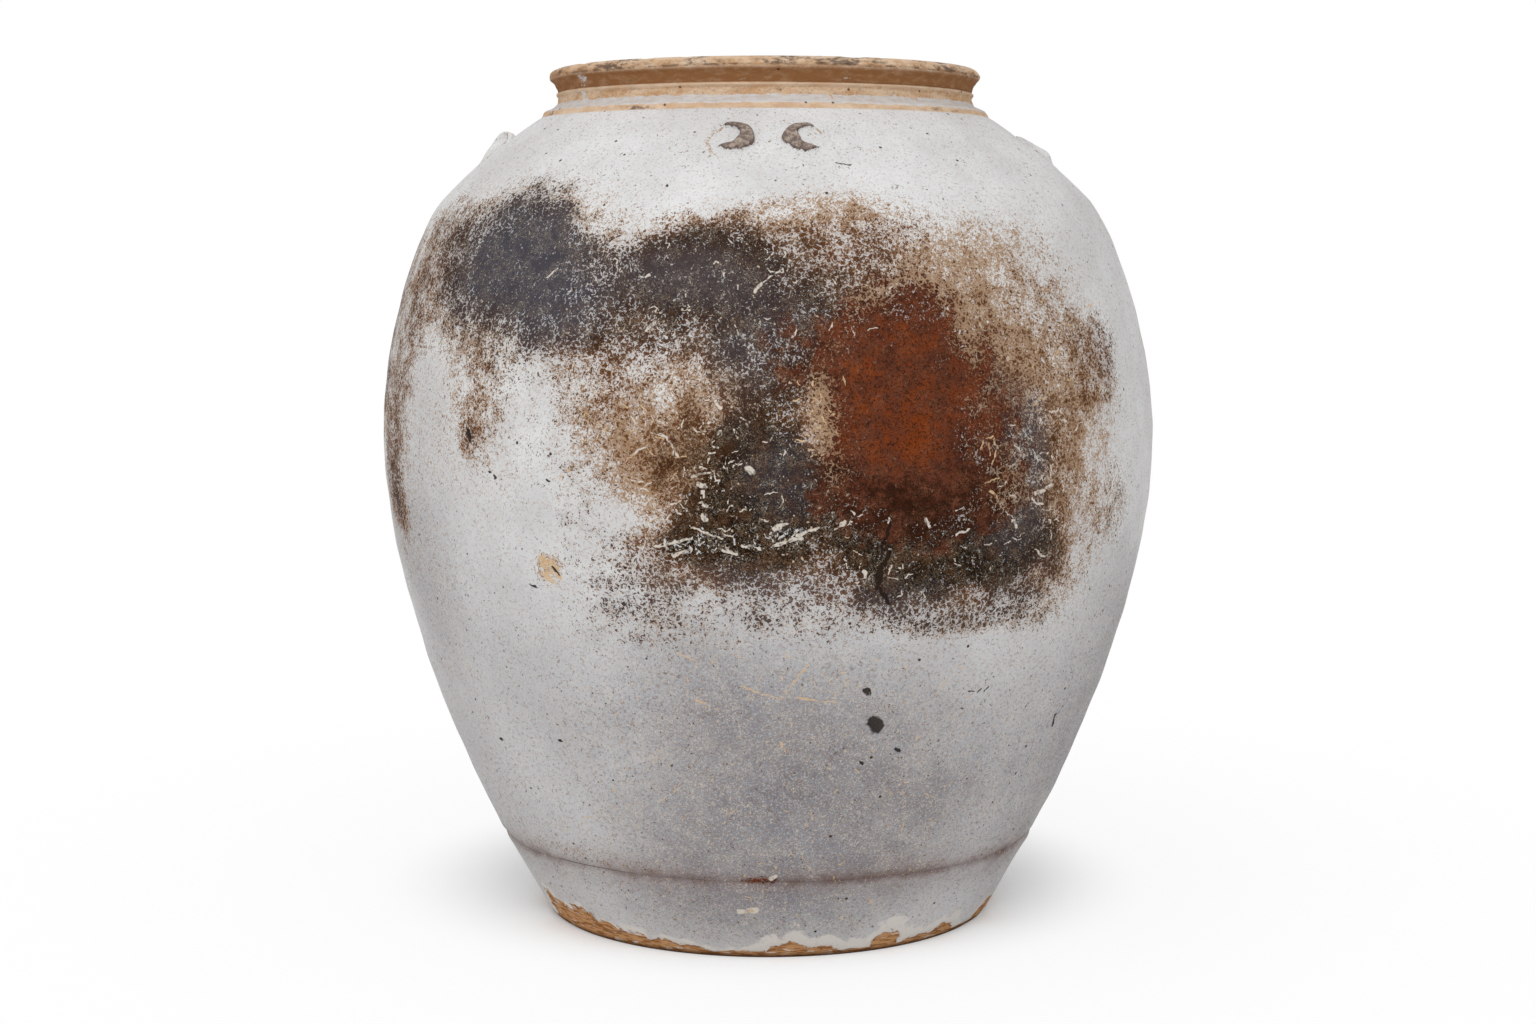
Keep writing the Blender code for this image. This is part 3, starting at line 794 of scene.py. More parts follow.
POOL_AND_SHADE = shade(112, 91, 84)
CHIP_RIM = shade(222, 216, 209)

# %% [markdown]
# Each coat takes a share, made of noise and of the layers stored on the wall, and a colour. The order
# matters: what comes later covers what came before.

# %% Mix the glaze
WANDER = 3.0 * MM


def glaze_finish():
    """The pale glaze with everything that has happened to it."""
    paint = Paint(bpy.data.materials.new("glaze"))
    tangle = paint.noise(WANDER).also("Color")
    wander = paint.arrow("SCALE", paint.arrow("SUBTRACT", tangle, (0.5, 0.5, 0.5)), Scale=WANDER)
    ragged = paint.arrow("ADD", paint.place, wander)

    grain = paint.noise(1.3 * MM, 2.0, 0.6, 1.2)
    fine = paint.noise(0.9 * MM, 1.0, 0.5, 0.8)
    blotch = paint.noise(9.0 * MM, 4.0, 0.6)
    cloud = paint.noise(60.0 * MM, 5.0, 0.6)
    ridge = abs(paint.noise(2.8 * MM, 1.0, 0.5, 2.5) - 0.5)
    worm = ridge.step(0.012, 0.055, 1.0, 0.0) * paint.noise(10.0 * MM, 4.0, 0.7).step(0.40, 0.62)

    # pale ash with cool and warm grey pools low down, coarser where it is grey; the grey also paints shade
    # over the lower middle and down both sides
    colour = paint.mix(cloud.step(0.35, 0.65), GLAZE_ASH, GLAZE_PALE)
    pools = paint.noise(30.0 * MM, 5.0, 0.65).step(0.25, 0.7, 0.88, 1.08)
    grey = paint.layer("grey") * pools
    pool_grey = paint.mix(paint.noise(46.0 * MM, 3.0).step(0.42, 0.60), GREY_WARM, GREY_COOL)
    colour = colour.coat(grey, pool_grey)
    coarse = grey.step(0.05, 0.5, 0.10, 0.54)
    colour = colour.coat(coarse * grain.step(0.46, 0.66), GLAZE_GREY)
    colour = colour.coat(coarse * fine.step(0.50, 0.68), LIGHT_GRAIN)
    colour = colour.coat(coarse * worm, WORN_CREAM_AND_HIGHLIGHT)

    # ochre tints, broken by the grain, and a tan halo round the soot
    soot = paint.layer("soot")
    tint = paint.layer("ochre") + soot.step(0.0, 0.5, 0.0, 0.44)
    tint = tint + paint.layer("rust").step(0.0, 0.4, 0.0, 0.5) - paint.layer("blue") * 0.18
    tint = tint + blotch.step(0.34, 0.66, -0.24, 0.24) * tint.step(0.08, 0.4)
    tint = tint + grain.step(0.3, 0.7, -0.52, 0.52) + fine.step(0.32, 0.68, -0.16, 0.16)
    colour = colour.coat(tint.step(0.18, 1.00, 0.0, 0.80), OCHRE)

    # glaze pooled dark in the foot groove, spread into a soft band of painted shade round it
    colour = colour.coat(paint.layer("pool_and_shade") * blotch.step(0.3, 0.65, 0.6, 1.0), POOL_AND_SHADE)

    # soot and rust: dense patches that fray into stipple
    rust = paint.layer("rust")
    density = soot.most(rust * 1.30) + blotch.step(0.28, 0.72, -0.15, 0.15)
    stipple = density * 1.28 + grain.step(0.30, 0.70, -0.32, 0.32) + fine.step(0.32, 0.68, -0.18, 0.18)
    stipple = stipple + paint.cells(3.0 * MM, "DISTANCE_TO_EDGE", ragged).step(0.02, 0.22, -0.34, 0.12)
    cover = stipple.step(0.42, 0.66).most(density.step(0.05, 0.95, 0.0, 0.5))
    brown_dark = paint.mix(density.step(0.45, 0.95), OLIVE_BROWN, BLACK_BROWN)
    brown = paint.layer("brown")
    dark = paint.mix(brown, CHARCOAL, brown_dark)
    blue = paint.layer("blue")
    dark = dark.coat(blue, BLUE_GREY)
    dark = dark.coat(brown * blotch.step(0.45, 0.7, 0.0, 0.3), OLIVE_BROWN)
    dark = dark.coat(brown * fine.step(0.48, 0.68, 0.0, 0.15), OCHRE)
    dark = dark.coat(fine.step(0.50, 0.68, 0.0, 0.05), SCAR_TAN)
    dark = dark.coat(density.step(0.15, 0.55, 0.8, 0.0) * blue.step(0.0, 1.0, 1.0, 0.1), FRINGE_BROWN)

    # the rust burn colours the soot, and has an orange heart
    heat = paint.noise(9.0 * MM, 6.0, 0.75).step(0.38, 0.62, -0.32, 0.30)
    heat = paint.layer("glow") + heat
    burnt = paint.mix(heat.step(-0.15, 0.5), RUST_DARK, RUST_RED)
    burnt = burnt.coat(heat.step(0.4, 1.2), RUST_ORANGE)
    burnt = burnt.coat(fine.step(0.5, 0.7, 0.0, 0.22), RUST_ORANGE)
    burnt = burnt.coat(grain.step(0.48, 0.62, 0.0, 0.75), RUST_DARK)
    burnt = burnt.coat(worm * 0.3, RUST_THREAD)
    reddened = rust + blotch.step(0.28, 0.72, -0.24, 0.24) + grain.step(0.3, 0.7, -0.12, 0.12)
    dark = dark.coat(reddened.step(-0.08, 0.42) * rust.step(0.0, 0.12), burnt)
    colour = colour.coat(cover, dark)

    # worm-like light lines and worn flakes over the soot
    flake = paint.layer("flake")
    lines = worm * soot.step(0.12, 0.5) * rust.step(0.1, 0.5, 0.27, 0.03)
    colour = colour.coat(lines, CREAM)
    worn = paint.noise(3.4 * MM, 3.0, 0.6, 1.6) + flake * 0.22
    colour = colour.coat(worn.step(0.72, 0.78, 0.0, 0.9) * flake.step(0.05, 0.3), GLAZE_ASH)

    # bright specks over the dark, brown pinholes everywhere, tan flecks
    bright = paint.dots(6.5 * MM, (0.06, 0.12), (0.48, 0.52), ragged) * rust.step(0.1, 0.5, 1.0, 0.15)
    colour = colour.coat(bright * soot.step(0.2, 0.6, 0.0, 0.8), CREAM)
    flakes = paint.dots(5.0 * MM, (0.11, 0.18), (0.55, 0.60), ragged)
    colour = colour.coat(flakes * flake.step(0.1, 0.45, 0.0, 0.9), GLAZE_ASH)
    pin = paint.dots(11.0 * MM, (0.05, 0.085), (0.44, 0.50))
    colour = colour.coat(pin * 0.95, PINHOLE_AND_SHADOW)
    pepper = paint.dots(5.5 * MM, (0.06, 0.12), (0.46, 0.54), strength=0.8)
    colour = colour.coat(pepper * grey.step(0.0, 0.16, 0.16, 1.0), PINHOLE_AND_SHADOW)
    fleck = paint.noise(3.6 * MM, 2.0, 0.5, 3.0) + paint.layer("grey").step(0.1, 0.6, 0.0, 0.035)
    fleck = fleck.step(0.685, 0.715, 0.0, 0.75) * rust.step(0.05, 0.35, 1.0, 0.1)
    colour = colour.coat(fleck, CREAM)

    # strokes listed one by one
    dark_marks = drawn_strokes(paint, "dark", wander)
    broken = paint.noise(2.2 * MM, 2.0, 0.6).step(0.34, 0.52, 0.25, 0.9)
    # pale marks, and one painted highlight beside the dark dent
    colour = colour.coat(drawn_strokes(paint, "pale", wander) * broken, WORN_CREAM_AND_HIGHLIGHT)
    colour = colour.coat(drawn_strokes(paint, "tan", wander) * broken, TAN_FLECK)
    colour = colour.coat(dark_marks * 0.92, DARK_MARK)

    # chips: a white rim, then bare clay, and a painted contact shadow along the foot's bottom edge
    ragged_edge = paint.noise(6.0 * MM, 5.0, 0.65, 0.8).step(0.28, 0.72, -0.34, 0.34)
    bare = (paint.layer("bare") + ragged_edge).step(0.46, 0.54)
    white_edge = paint.layer("edge") + blotch.step(0.35, 0.65, -0.45, 0.35)
    white_edge = white_edge.step(0.25, 0.75, 0.0, 0.8) * paint.layer("edge").step(0.02, 0.2)
    colour = colour.coat(white_edge, CHIP_RIM)
    streak = paint.stretched(5.0)
    clay = paint.mix(paint.noise(7.0 * MM, 4.0, 0.6, place=streak).step(0.40, 0.56), BARE_DARK, BARE_CLAY)
    clay = clay.coat(paint.noise(9.0 * MM, 4.0, 0.6, 0.5, streak).step(0.60, 0.64, 0.0, 0.8), CHIP_RIM)
    colour = colour.coat(bare, clay)
    # painted contact shadow: dark brown over the lowest few millimetres of the foot
    colour = colour.coat(paint.layer("contact_shadow"), PINHOLE_AND_SHADOW)

    # broken lug scars with a dark edge
    scar = paint.layer("scar") + grain.step(0.3, 0.7, -0.2, 0.2)
    scar_colour = paint.mix(paint.noise(3.0 * MM, 4.0, 0.7).step(0.40, 0.66), SCAR_GREY, SCAR_TAN)
    colour = colour.coat(scar.step(0.35, 0.6), scar_colour)
    colour = colour.coat(scar.step(0.30, 0.45, 0.0, 0.6) * scar.step(0.62, 0.95, 1.0, 0.0), PINHOLE_AND_SHADOW)

    rough = grain.step(0.3, 0.7, 0.42, 0.56)
    rough = paint.blend(bare, paint.blend(cover, rough, 0.62), 0.88)
    relief = grain * 0.22 + blotch * 0.35 - pin * 0.8 - dark_marks * 1.6 - bare * 1.2
    return paint.finish(colour, rough, relief, 0.45 * MM)


GLAZE = glaze_finish()

# %% [markdown]
# ## The bare clay
#
# The lip and neck were wiped before firing, so they show the toasted clay: tan with darker burnt
# patches, dark grains and a thin wash of glaze that ran over the collar. The same finish, darker, lines
# the inside.

# %% Mix the clay
CLAY_TAN = shade(216, 191, 164)
CLAY_WARM = shade(196, 157, 120)
CLAY_DEEP = shade(140, 97, 62)
CLAY_BURNT = shade(116, 88, 68)
CLAY_PALE = shade(226, 202, 178)
CLAY_BLACK = shade(72, 52, 40)
CLAY_SOOT = shade(92, 78, 70)
WASH_GREY = shade(190, 183, 178)
INSIDE_TAN = shade(150, 116, 84)
INSIDE_DARK = shade(96, 70, 50)


def clay_finish(name, light, warm):
    """Toasted stoneware with burnt patches, and a wash of glaze where the layer says."""
    paint = Paint(bpy.data.materials.new(name))
    turned_way = paint.stretched(2.6)
    grain = paint.noise(1.2 * MM, 3.0, 0.6)
    blotch = paint.noise(16.0 * MM, 5.0, 0.65, 0.3, turned_way)
    stria = paint.noise(7.0 * MM, 4.0, 0.6, place=turned_way)
    colour = paint.mix(blotch.step(0.36, 0.64), light, warm)
    colour = colour.coat(stria.step(0.42, 0.66, 0.0, 0.22), CLAY_DEEP)
    colour = colour.coat(stria.step(0.42, 0.30, 0.0, 0.15), CLAY_PALE)
    colour = colour.coat(grain.step(0.48, 0.70, 0.0, 0.38), CLAY_BURNT)

    # painted shade under the lip, pale worn edges with a painted highlight along the ledge below it, soot
    # and a thin dark line
    under = paint.layer("under") + stria.step(0.34, 0.66, -0.24, 0.10)
    colour = colour.coat(under.step(0.05, 1.05), CLAY_DEEP)
    colour = colour.coat(paint.layer("worn") * grain.step(0.3, 0.7, 0.3, 0.8), CLAY_PALE)
    flare = paint.noise(6.0 * MM, 5.0, 0.7, place=turned_way).step(0.34, 0.66, -0.45, 0.40)
    colour = colour.coat((paint.layer("burnt") + flare).step(0.25, 0.95, 0.0, 0.85), CLAY_SOOT)
    gaps = paint.noise(7.0 * MM, 4.0, 0.65).step(0.36, 0.64, -0.8, 0.2)
    colour = colour.coat((paint.layer("line") + gaps).step(0.3, 0.8, 0.0, 0.55), CLAY_BLACK)

    # a wash of glaze, and dark pinholes
    wash = paint.layer("wash") + paint.noise(5.0 * MM, 5.0, 0.65).step(0.3, 0.7, -0.34, 0.30)
    wash = (wash + stria.step(0.3, 0.7, -0.26, 0.22)).step(0.40, 0.62, 0.0, 0.9)
    thin = paint.noise(5.0 * MM, 4.0, 0.7, place=turned_way).step(0.42, 0.62, 0.0, 0.7)
    colour = colour.coat(wash, paint.mix(thin, GLAZE_ASH, WASH_GREY))
    pin = paint.dots(7.0 * MM, (0.08, 0.14), (0.48, 0.54))
    colour = colour.coat(pin * 0.85, CLAY_BLACK)
    rough = wash.step(0.0, 1.0, 0.8, 0.5)
    return paint.finish(colour, rough, grain * 0.5 + blotch * 0.4 - pin * 0.7, 0.5 * MM)


CLAY = clay_finish("toasted_clay", CLAY_TAN, CLAY_WARM)
INSIDE = clay_finish("inside_clay", INSIDE_TAN, INSIDE_DARK)

# %% [markdown]
# ## Walls
#
# Fingers leave faint rings as they lift a wall, and no big pot is quite round. `thrown` gives both, a
# fraction of a millimetre deep. Larger pits are pressed into the shape at their places.

# %% Turn the belly and the shoulder
# each pit: across and down, its size in pixels and its depth in mm
PITS = [(875, 724, 9.0, 1.6), (867, 691, 6.0, 0.8), (1055, 720, 6.0, 1.0), (883, 580, 9.0, 0.7)]
RING_DEPTH = 0.10 * MM
WOBBLE_DEPTH = 0.30 * MM
DRIFT_DEPTH = 0.22 * MM


def thrown(angle, height):
    """Finger rings, a slight wobble and pits, as a push along the normal."""
    phase = 0.9 * np.sin(angle + 0.6) + 0.5 * np.sin(2.0 * angle - 1.1)
    rings = np.sin(height / (5.2 * MM) + phase) + 0.7 * np.sin(height / (3.1 * MM) - 1.4 * phase)
    wobble = np.sin(2.0 * angle + 0.8) + 0.6 * np.sin(3.0 * angle - height / 0.06)
    push = RING_DEPTH * rings + WOBBLE_DEPTH * wobble
    push = push + DRIFT_DEPTH * drift(angle, height, 30.0 * MM, 91)
    for across, down, size, depth in PITS:
        pit_angle, pit_height = on_jar(across, down)
        far = np.hypot((angle - pit_angle) * skin_radius(pit_height), height - pit_height)
        push = push - depth * MM * bell(far, size * PIXEL)
    return push * (1.0 - eased(height, NECK_SEAT[1] - 12.0 * MM, NECK_SEAT[1] - 0.5 * MM))


def inner_wall(outline):
    """The inside of a wall, level with its outside, running back down."""
    run = np.gradient(outline, axis=0)
    level = WALL * np.hypot(run[:, 0], run[:, 1]) / run[:, 1]
    return np.column_stack([outline[:, 0] - level, outline[:, 1]])[::-1]


def groove_pool_and_shade(angle, height):
    """How much dark glaze has pooled in the groove above the foot, with painted shade in a wider soft band.
    """
    away = height - FOOT_JOINT[1]
    dark = np.maximum(0.9 * bell(away, 4.4 * MM), 0.42 * bell(away, 10.0 * MM))
    return dark * (0.85 + 0.22 * drift(angle, height, 34.0 * MM, 47))


def dress_wall(piece, outline, node, more=None):
    """Paints stains and marks on a wall's outside; more gives further layers."""
    angle, height = np.meshgrid(ANGLES, outline[:, 1])
    layers = stain_layers(angle, height)
    # the pooled glaze in the groove, with painted shade round it
    layers["pool_and_shade"] = groove_pool_and_shade(angle, height)
    if more is not None:
        layers.update(more(angle, height))
    paint_points(piece, **layers)
    mark_piece(piece, len(outline))
    stands_for(piece, node)


belly_lip = [(-FOOT_STEP, 0.0), (-0.9 * MM, 0.15 * MM), (-0.3 * MM, 0.7 * MM)]
belly_edge = np.array([(FOOT_JOINT[0] + inset, FOOT_JOINT[1] + rise) for inset, rise in belly_lip])
belly_rings = np.vstack([belly_edge, belly_outline(84, 52)[1:]])
belly = turned("jar_belly", belly_rings, inner_wall(belly_outline(8, 6)), [GLAZE, INSIDE], thrown)

shoulder_rings = shoulder_outline(40)
shoulder = turned("jar_shoulder", shoulder_rings, inner_wall(shoulder_outline(7)), [GLAZE, INSIDE], thrown)

dress_wall(belly, belly_rings, "belly_wall")
dress_wall(shoulder, shoulder_rings, "shoulder_wall")

# %% [markdown]
# ## Foot and base
#
# The foot is drawn in under the belly, and the glaze stops in chips and drips just above the floor.
# Chips are cut back by most of a millimetre, so their white edges catch the light.

# %% Turn the foot and the base
# each chip along the foot: across and down of its top, half its width and the width of its white rim,
# in pixels
FOOT_CHIPS = [
    (544, 886, 8, 1), (557, 898, 13, 2), (576, 906, 22, 2), (602, 921, 27, 3), (634, 932, 26, 3),
    (662, 939, 28, 3), (688, 945, 22, 4), (745, 951, 50, 5), (788, 943, 25, 11), (820, 946, 25, 12),
    (850, 949, 17, 12), (889, 930, 17, 12), (924, 933, 28, 10), (946, 922, 14, 9), (990, 895, 11, 3),
]
CHIP_DEPTH = 0.9 * MM
FOOT_UNEVEN = 0.3 * MM
CURL_START = 36.5 * MM
CURL_HANDLE = 4.5 * MM
FLOOR_HOLE = 4.0 * MM


def chip_distance(angle, height, share):
    """How far from the nearest chip's middle, where 1 is its edge; share adds that much white rim."""
    nearest = np.full_like(angle, 9.0)
    for across, down, half_width, rim in FOOT_CHIPS:
        chip_angle, chip_top = on_jar(across, down)
        wide = (half_width + share * rim) * PIXEL / (BASE_RADIUS * seen_share(chip_angle))
        tall = chip_top + share * rim * PIXEL
        nearest = np.minimum(nearest, np.hypot((angle - chip_angle) / wide, height / tall))
    return nearest


def bare_foot(angle, height):
    """Where the foot is bare clay: the listed chips, and a ragged edge all round."""
    ragged = 3.0 * MM + 3.2 * MM * drift(angle, np.zeros_like(height), 26.0 * MM, 17)
    behind = eased(-np.cos(angle), -0.3, 0.1)
    bare = behind * (1.0 - eased(height - ragged, -0.4 * MM, 1.6 * MM))
    bare = np.maximum(bare, 1.0 - eased(height, 1.4 * MM, 3.8 * MM))
    return np.maximum(bare, 1.0 - eased(chip_distance(angle, height, 0.0), 0.55, 1.35))


def white_rim(angle, height):
    """The broad white edge that the glaze has round the chips."""
    return 1.0 - eased(chip_distance(angle, height, 1.0), 0.75, 1.35)


def foot_push(angle, height):
    """Chips cut back, with a slight unevenness."""
    return FOOT_UNEVEN * drift(angle, height, 22.0 * MM, 33) - CHIP_DEPTH * bare_foot(angle, height)


def base_push(angle, height):
    """As the foot, but the face the jar stands on stays flat."""
    return foot_push(angle, height) * eased(height, 0.0, 1.5 * MM)


def foot_layers(angle, height):
    """The layers that only the foot has: bare clay, white chip rims and a painted contact shadow by the
    floor.
    """
    # painted contact shadow, strongest at the floor and gone by about 3 mm up
    contact_shadow = 0.85 * (1.0 - eased(height, 0.6 * MM, 2.8 * MM))
    return {"bare": bare_foot(angle, height), "edge": white_rim(angle, height), "contact_shadow": contact_shadow}


def on_taper(heights, inset=0.0):
    """An outline along the foot's straight taper."""
    return np.column_stack([foot_radius(heights) - inset, heights])


foot_top = (FOOT_JOINT[0] - FOOT_STEP, FOOT_JOINT[1])
curl_begin = (foot_radius(CURL_START), CURL_START)
curl_leaving = (foot_radius(CURL_START + CURL_HANDLE), CURL_START + CURL_HANDLE)
foot_curl = bezier(curl_begin, curl_leaving, (foot_top[0], foot_top[1] - CURL_HANDLE), foot_top, 14)
foot_rings = np.vstack([on_taper(np.linspace(BASE_THICKNESS, CURL_START, 18)), foot_curl[1:]])
level_wall = WALL * math.hypot(1.0, (FOOT_JOINT[0] - BASE_RADIUS) / FOOT_JOINT[1])
foot_inner = on_taper(np.linspace(FOOT_JOINT[1], BASE_THICKNESS, 4), level_wall)
foot = turned("jar_foot", foot_rings, foot_inner, [GLAZE, INSIDE], foot_push)

worn_edge = [
    (BASE_RADIUS - 1.8 * MM, 0.0),
    (BASE_RADIUS - 0.2 * MM, 0.6 * MM),
    (foot_radius(2.0 * MM), 2.0 * MM),
]
base_rings = np.vstack([worn_edge, on_taper(np.linspace(2.8 * MM, BASE_THICKNESS, 13))])
floor_radii = np.linspace(foot_radius(BASE_THICKNESS) - level_wall, FLOOR_HOLE, 10)
under_radii = np.linspace(FLOOR_HOLE, BASE_RADIUS - 4.0 * MM, 10)
floor_inside = np.column_stack([floor_radii, np.full(10, BASE_THICKNESS)])
underside = np.column_stack([under_radii, np.zeros(10)])
base_back = np.vstack([floor_inside, underside])
base = turned("jar_base", base_rings, base_back, [GLAZE, INSIDE], base_push)

dress_wall(foot, foot_rings, "foot_wall", foot_layers)
dress_wall(base, base_rings, "base_disc", foot_layers)

# %% [markdown]
# ## Neck and lip
#
# A fillet ring hides the joint between neck and shoulder, and the lip is rolled over and undercut. The
# wheel's marks are finer here, and the lip has little dents from a century of lids and ladles.

# %% Turn the neck and the lip
collar_ring = NECK_RADIUS + 8.2 * MM
ring_top = NECK_SEAT[1] + 2.6 * MM
collar_face = bezier(
    (NECK_SEAT[0], NECK_SEAT[1]),
    (collar_ring + 0.2 * MM, NECK_SEAT[1] + 0.8 * MM),
    (collar_ring, ring_top),
    (collar_ring - 1.2 * MM, ring_top + 1.0 * MM),
    9,
)
collar_hollow = bezier(
    (collar_ring - 1.2 * MM, ring_top + 1.0 * MM),
    (collar_ring - 5.6 * MM, ring_top + 2.6 * MM),
    (NECK_RADIUS + 0.2 * MM, ring_top + 3.4 * MM),
    (NECK_RADIUS, ring_top + 8.0 * MM),
    16,
)
collar_ledge = [
    (NECK_RADIUS + 0.5 * MM, RIM_SEAT - 1.9 * MM),
    (NECK_RADIUS + 1.0 * MM, RIM_SEAT - 1.1 * MM),
    (NECK_RADIUS + 0.9 * MM, RIM_SEAT - 0.5 * MM),
    (NECK_RADIUS, RIM_SEAT),
]
collar_rings = np.vstack([collar_face, collar_hollow[1:], collar_ledge])
collar_inner = np.array([(MOUTH_RADIUS, level) for level in (RIM_SEAT, 430.0 * MM, NECK_SEAT[1])])

lip_under = bezier(
    (NECK_RADIUS, RIM_SEAT),
    (NECK_RADIUS + 0.4 * MM, RIM_SEAT + 3.5 * MM),
    (NECK_RADIUS + 2.8 * MM, RIM_SEAT + 6.2 * MM),
    (NECK_RADIUS + 4.0 * MM, RIM_SEAT + 7.0 * MM),
    10,
)
lip_face = bezier(
    (NECK_RADIUS + 4.0 * MM, RIM_SEAT + 7.0 * MM),
    (NECK_RADIUS + 5.4 * MM, RIM_SEAT + 9.4 * MM),
    (NECK_RADIUS + 3.2 * MM, RIM_TOP),
    (NECK_RADIUS - 2.4 * MM, RIM_TOP),
    16,
)
lip_inside = bezier(
    (NECK_RADIUS - 2.4 * MM, RIM_TOP),
    (NECK_RADIUS - 6.6 * MM, RIM_TOP),
    (MOUTH_RADIUS, RIM_TOP - 2.6 * MM),
    (MOUTH_RADIUS, RIM_TOP - 7.0 * MM),
    10,
)
lip_rings = np.vstack([lip_under, lip_face[1:], lip_inside[1:]])
lip_inner = np.array([(MOUTH_RADIUS, RIM_TOP - 9.0 * MM), (MOUTH_RADIUS, RIM_SEAT)])


def wheel_marks(angle, height):
    """Fine ridges and small dents near the mouth."""
    dents = drift(angle, height, 11.0 * MM, 61)
    push = 0.12 * MM * np.sin(height / (0.55 * MM) + angle) - 0.35 * MM * eased(dents, 0.9, 1.6)
    return push * eased(height, NECK_SEAT[1], NECK_SEAT[1] + 2.0 * MM)


collar = turned("jar_neck", collar_rings, collar_inner, [CLAY, INSIDE], wheel_marks)
lip = turned("jar_lip", lip_rings, lip_inner, [CLAY, INSIDE], wheel_marks)

# burnt patches on the lip: across and half width in pixels, then strength
LIP_BURNS = [
    (618, 34, 0.62), (706, 20, 0.55), (782, 26, 0.58), (846, 40, 0.70), (950, 30, 0.62), (560, 12, 0.6),
]
LIP_REACH = 221.0
RUN_ACROSS = 583
RUN_WIDTH = 0.045
RUN_STRENGTH = 0.6


def lip_burn(angle, height):
    """Soot on the lip's outer roll: the listed patches, and others round the back."""
    cover = 0.6 * eased(drift(angle, height, 36.0 * MM, 73), 0.3, 1.3) * eased(-np.cos(angle), -0.1, 0.3)
    for across, half_width, strength in LIP_BURNS:
        middle = math.asin((across - IMAGE_WIDTH / 2.0) / LIP_REACH)
        wide = half_width / (LIP_REACH * seen_share(middle))
        cover = np.maximum(cover, strength * bell(angle - middle, wide))
    return cover * eased(height, RIM_SEAT + 6.5 * MM, RIM_SEAT + 9.0 * MM)


def glaze_run(angle):
    """A run of white glaze down the neck, near the left."""
    middle = math.asin((RUN_ACROSS - IMAGE_WIDTH / 2.0) / LIP_REACH)
    return RUN_STRENGTH * bell(angle - middle, RUN_WIDTH)


ring_angle, ring_height = np.meshgrid(ANGLES, collar_rings[:, 1])
above_seat = ring_height - NECK_SEAT[1]
wash = eased(above_seat, 2.0 * MM, 3.2 * MM) * (1.0 - eased(above_seat, 6.4 * MM, 8.0 * MM))
ridge_burn = 0.7 * eased(drift(ring_angle, ring_height, 14.0 * MM, 91), 0.4, 1.4)
ridge_worn = 0.5 * (1.0 - eased(above_seat, 2.0 * MM, 4.0 * MM))
# a painted highlight along the crest of the ledge under the lip, kept in the worn layer
ledge_highlight = 0.75 * bell(ring_height - RIM_SEAT + 0.9 * MM, 0.7 * MM)
paint_points(
    collar,
    wash=np.maximum(wash, glaze_run(ring_angle) * eased(above_seat, 3.0 * MM, 5.0 * MM)),
    burnt=ridge_burn * (1.0 - eased(above_seat, 1.0 * MM, 3.5 * MM)),
    worn=ridge_worn + ledge_highlight,
)
stands_for(collar, "neck_collar")

ring_angle, ring_height = np.meshgrid(ANGLES, lip_rings[:, 1])
above_seat = ring_height - RIM_SEAT
outside = (np.arange(len(lip_rings)) < len(lip_under) + len(lip_face) - 1)[:, None]
# painted shade under the lip's roll, fading below its edge
below_edge = 1.0 - eased(above_seat, 6.9 * MM, 7.6 * MM)
under_lip = np.maximum(below_edge, 0.6 * (1.0 - eased(above_seat, 7.0 * MM, 11.5 * MM)))
line_height = 8.2 * MM + 0.5 * MM * np.sin(3.0 * ring_angle + 0.9)
run = glaze_run(ring_angle) * (1.0 - eased(above_seat, 5.0 * MM, 10.0 * MM))
top_worn = 0.6 * eased(ring_height, RIM_TOP - 2.6 * MM, RIM_TOP - 0.6 * MM)
paint_points(
    lip,
    burnt=lip_burn(ring_angle, ring_height),
    wash=np.where(outside, run, 0.0),
    worn=np.maximum(top_worn, 0.5 * bell(above_seat - 7.1 * MM, 0.5 * MM)),
    # painted shade, and less of it on the lip's inner curve
    under=np.where(outside, under_lip, 0.4),
    line=np.where(outside, bell(above_seat - line_height, 0.55 * MM), 0.0),
)
stands_for(lip, "mouth_rim")

# %% [markdown]
# ## Lug pads
#
# Each lug was a loop of clay pressed on with two thumbs. The loops are gone. What is left of each end
# is a low mound with a thumb hollow, and a crescent stump of broken clay at the side where the loop
# sprang. The pad is a disc of rings laid on the shoulder, lifted by a height formula, with its edge
# sunk into the wall.

# %% Press the lug pads
LUG_UP_SLOPE = 36.5 * MM
LUG_TURN = math.radians(0.6)
PAD_OFFSET = 17.0 * MM
PAD_REACH = 15.0 * MM
CRESCENT_UP = 3.6 * MM
CRESCENT_OUTER = 10.6 * MM
CRESCENT_INNER = 8.4 * MM
CRESCENT_SHIFT = 5.4 * MM
PAD_POINTS = 96
PAD_RINGS = 30
PAD_SUNK = 0.35 * MM
PAD_ROOT = -1.2 * MM
MOUND_HEIGHT = 1.7 * MM
HOLLOW_DEPTH = 0.9 * MM
slope = shoulder_outline(200)
slope_run = np.concatenate([[0.0], np.cumsum(np.hypot(*np.diff(slope, axis=0).T))])
slope_normal = outline_normals(slope)


def on_shoulder(lug_angle, sideways, up, lift):
    """Points that stand off the shoulder, from distances round it and up its slope."""
    radius = np.interp(up, slope_run, slope[:, 0])
    height = np.interp(up, slope_run, slope[:, 1])
    out = np.interp(up, slope_run, slope_normal[:, 0])
    rise = np.interp(up, slope_run, slope_normal[:, 1])
    turn = lug_angle + sideways / radius
    reach = radius + out * lift
    across = reach * np.sin(turn) - lean_at(height)
    return np.stack([across, -reach * np.cos(turn), height + rise * lift], axis=-1)


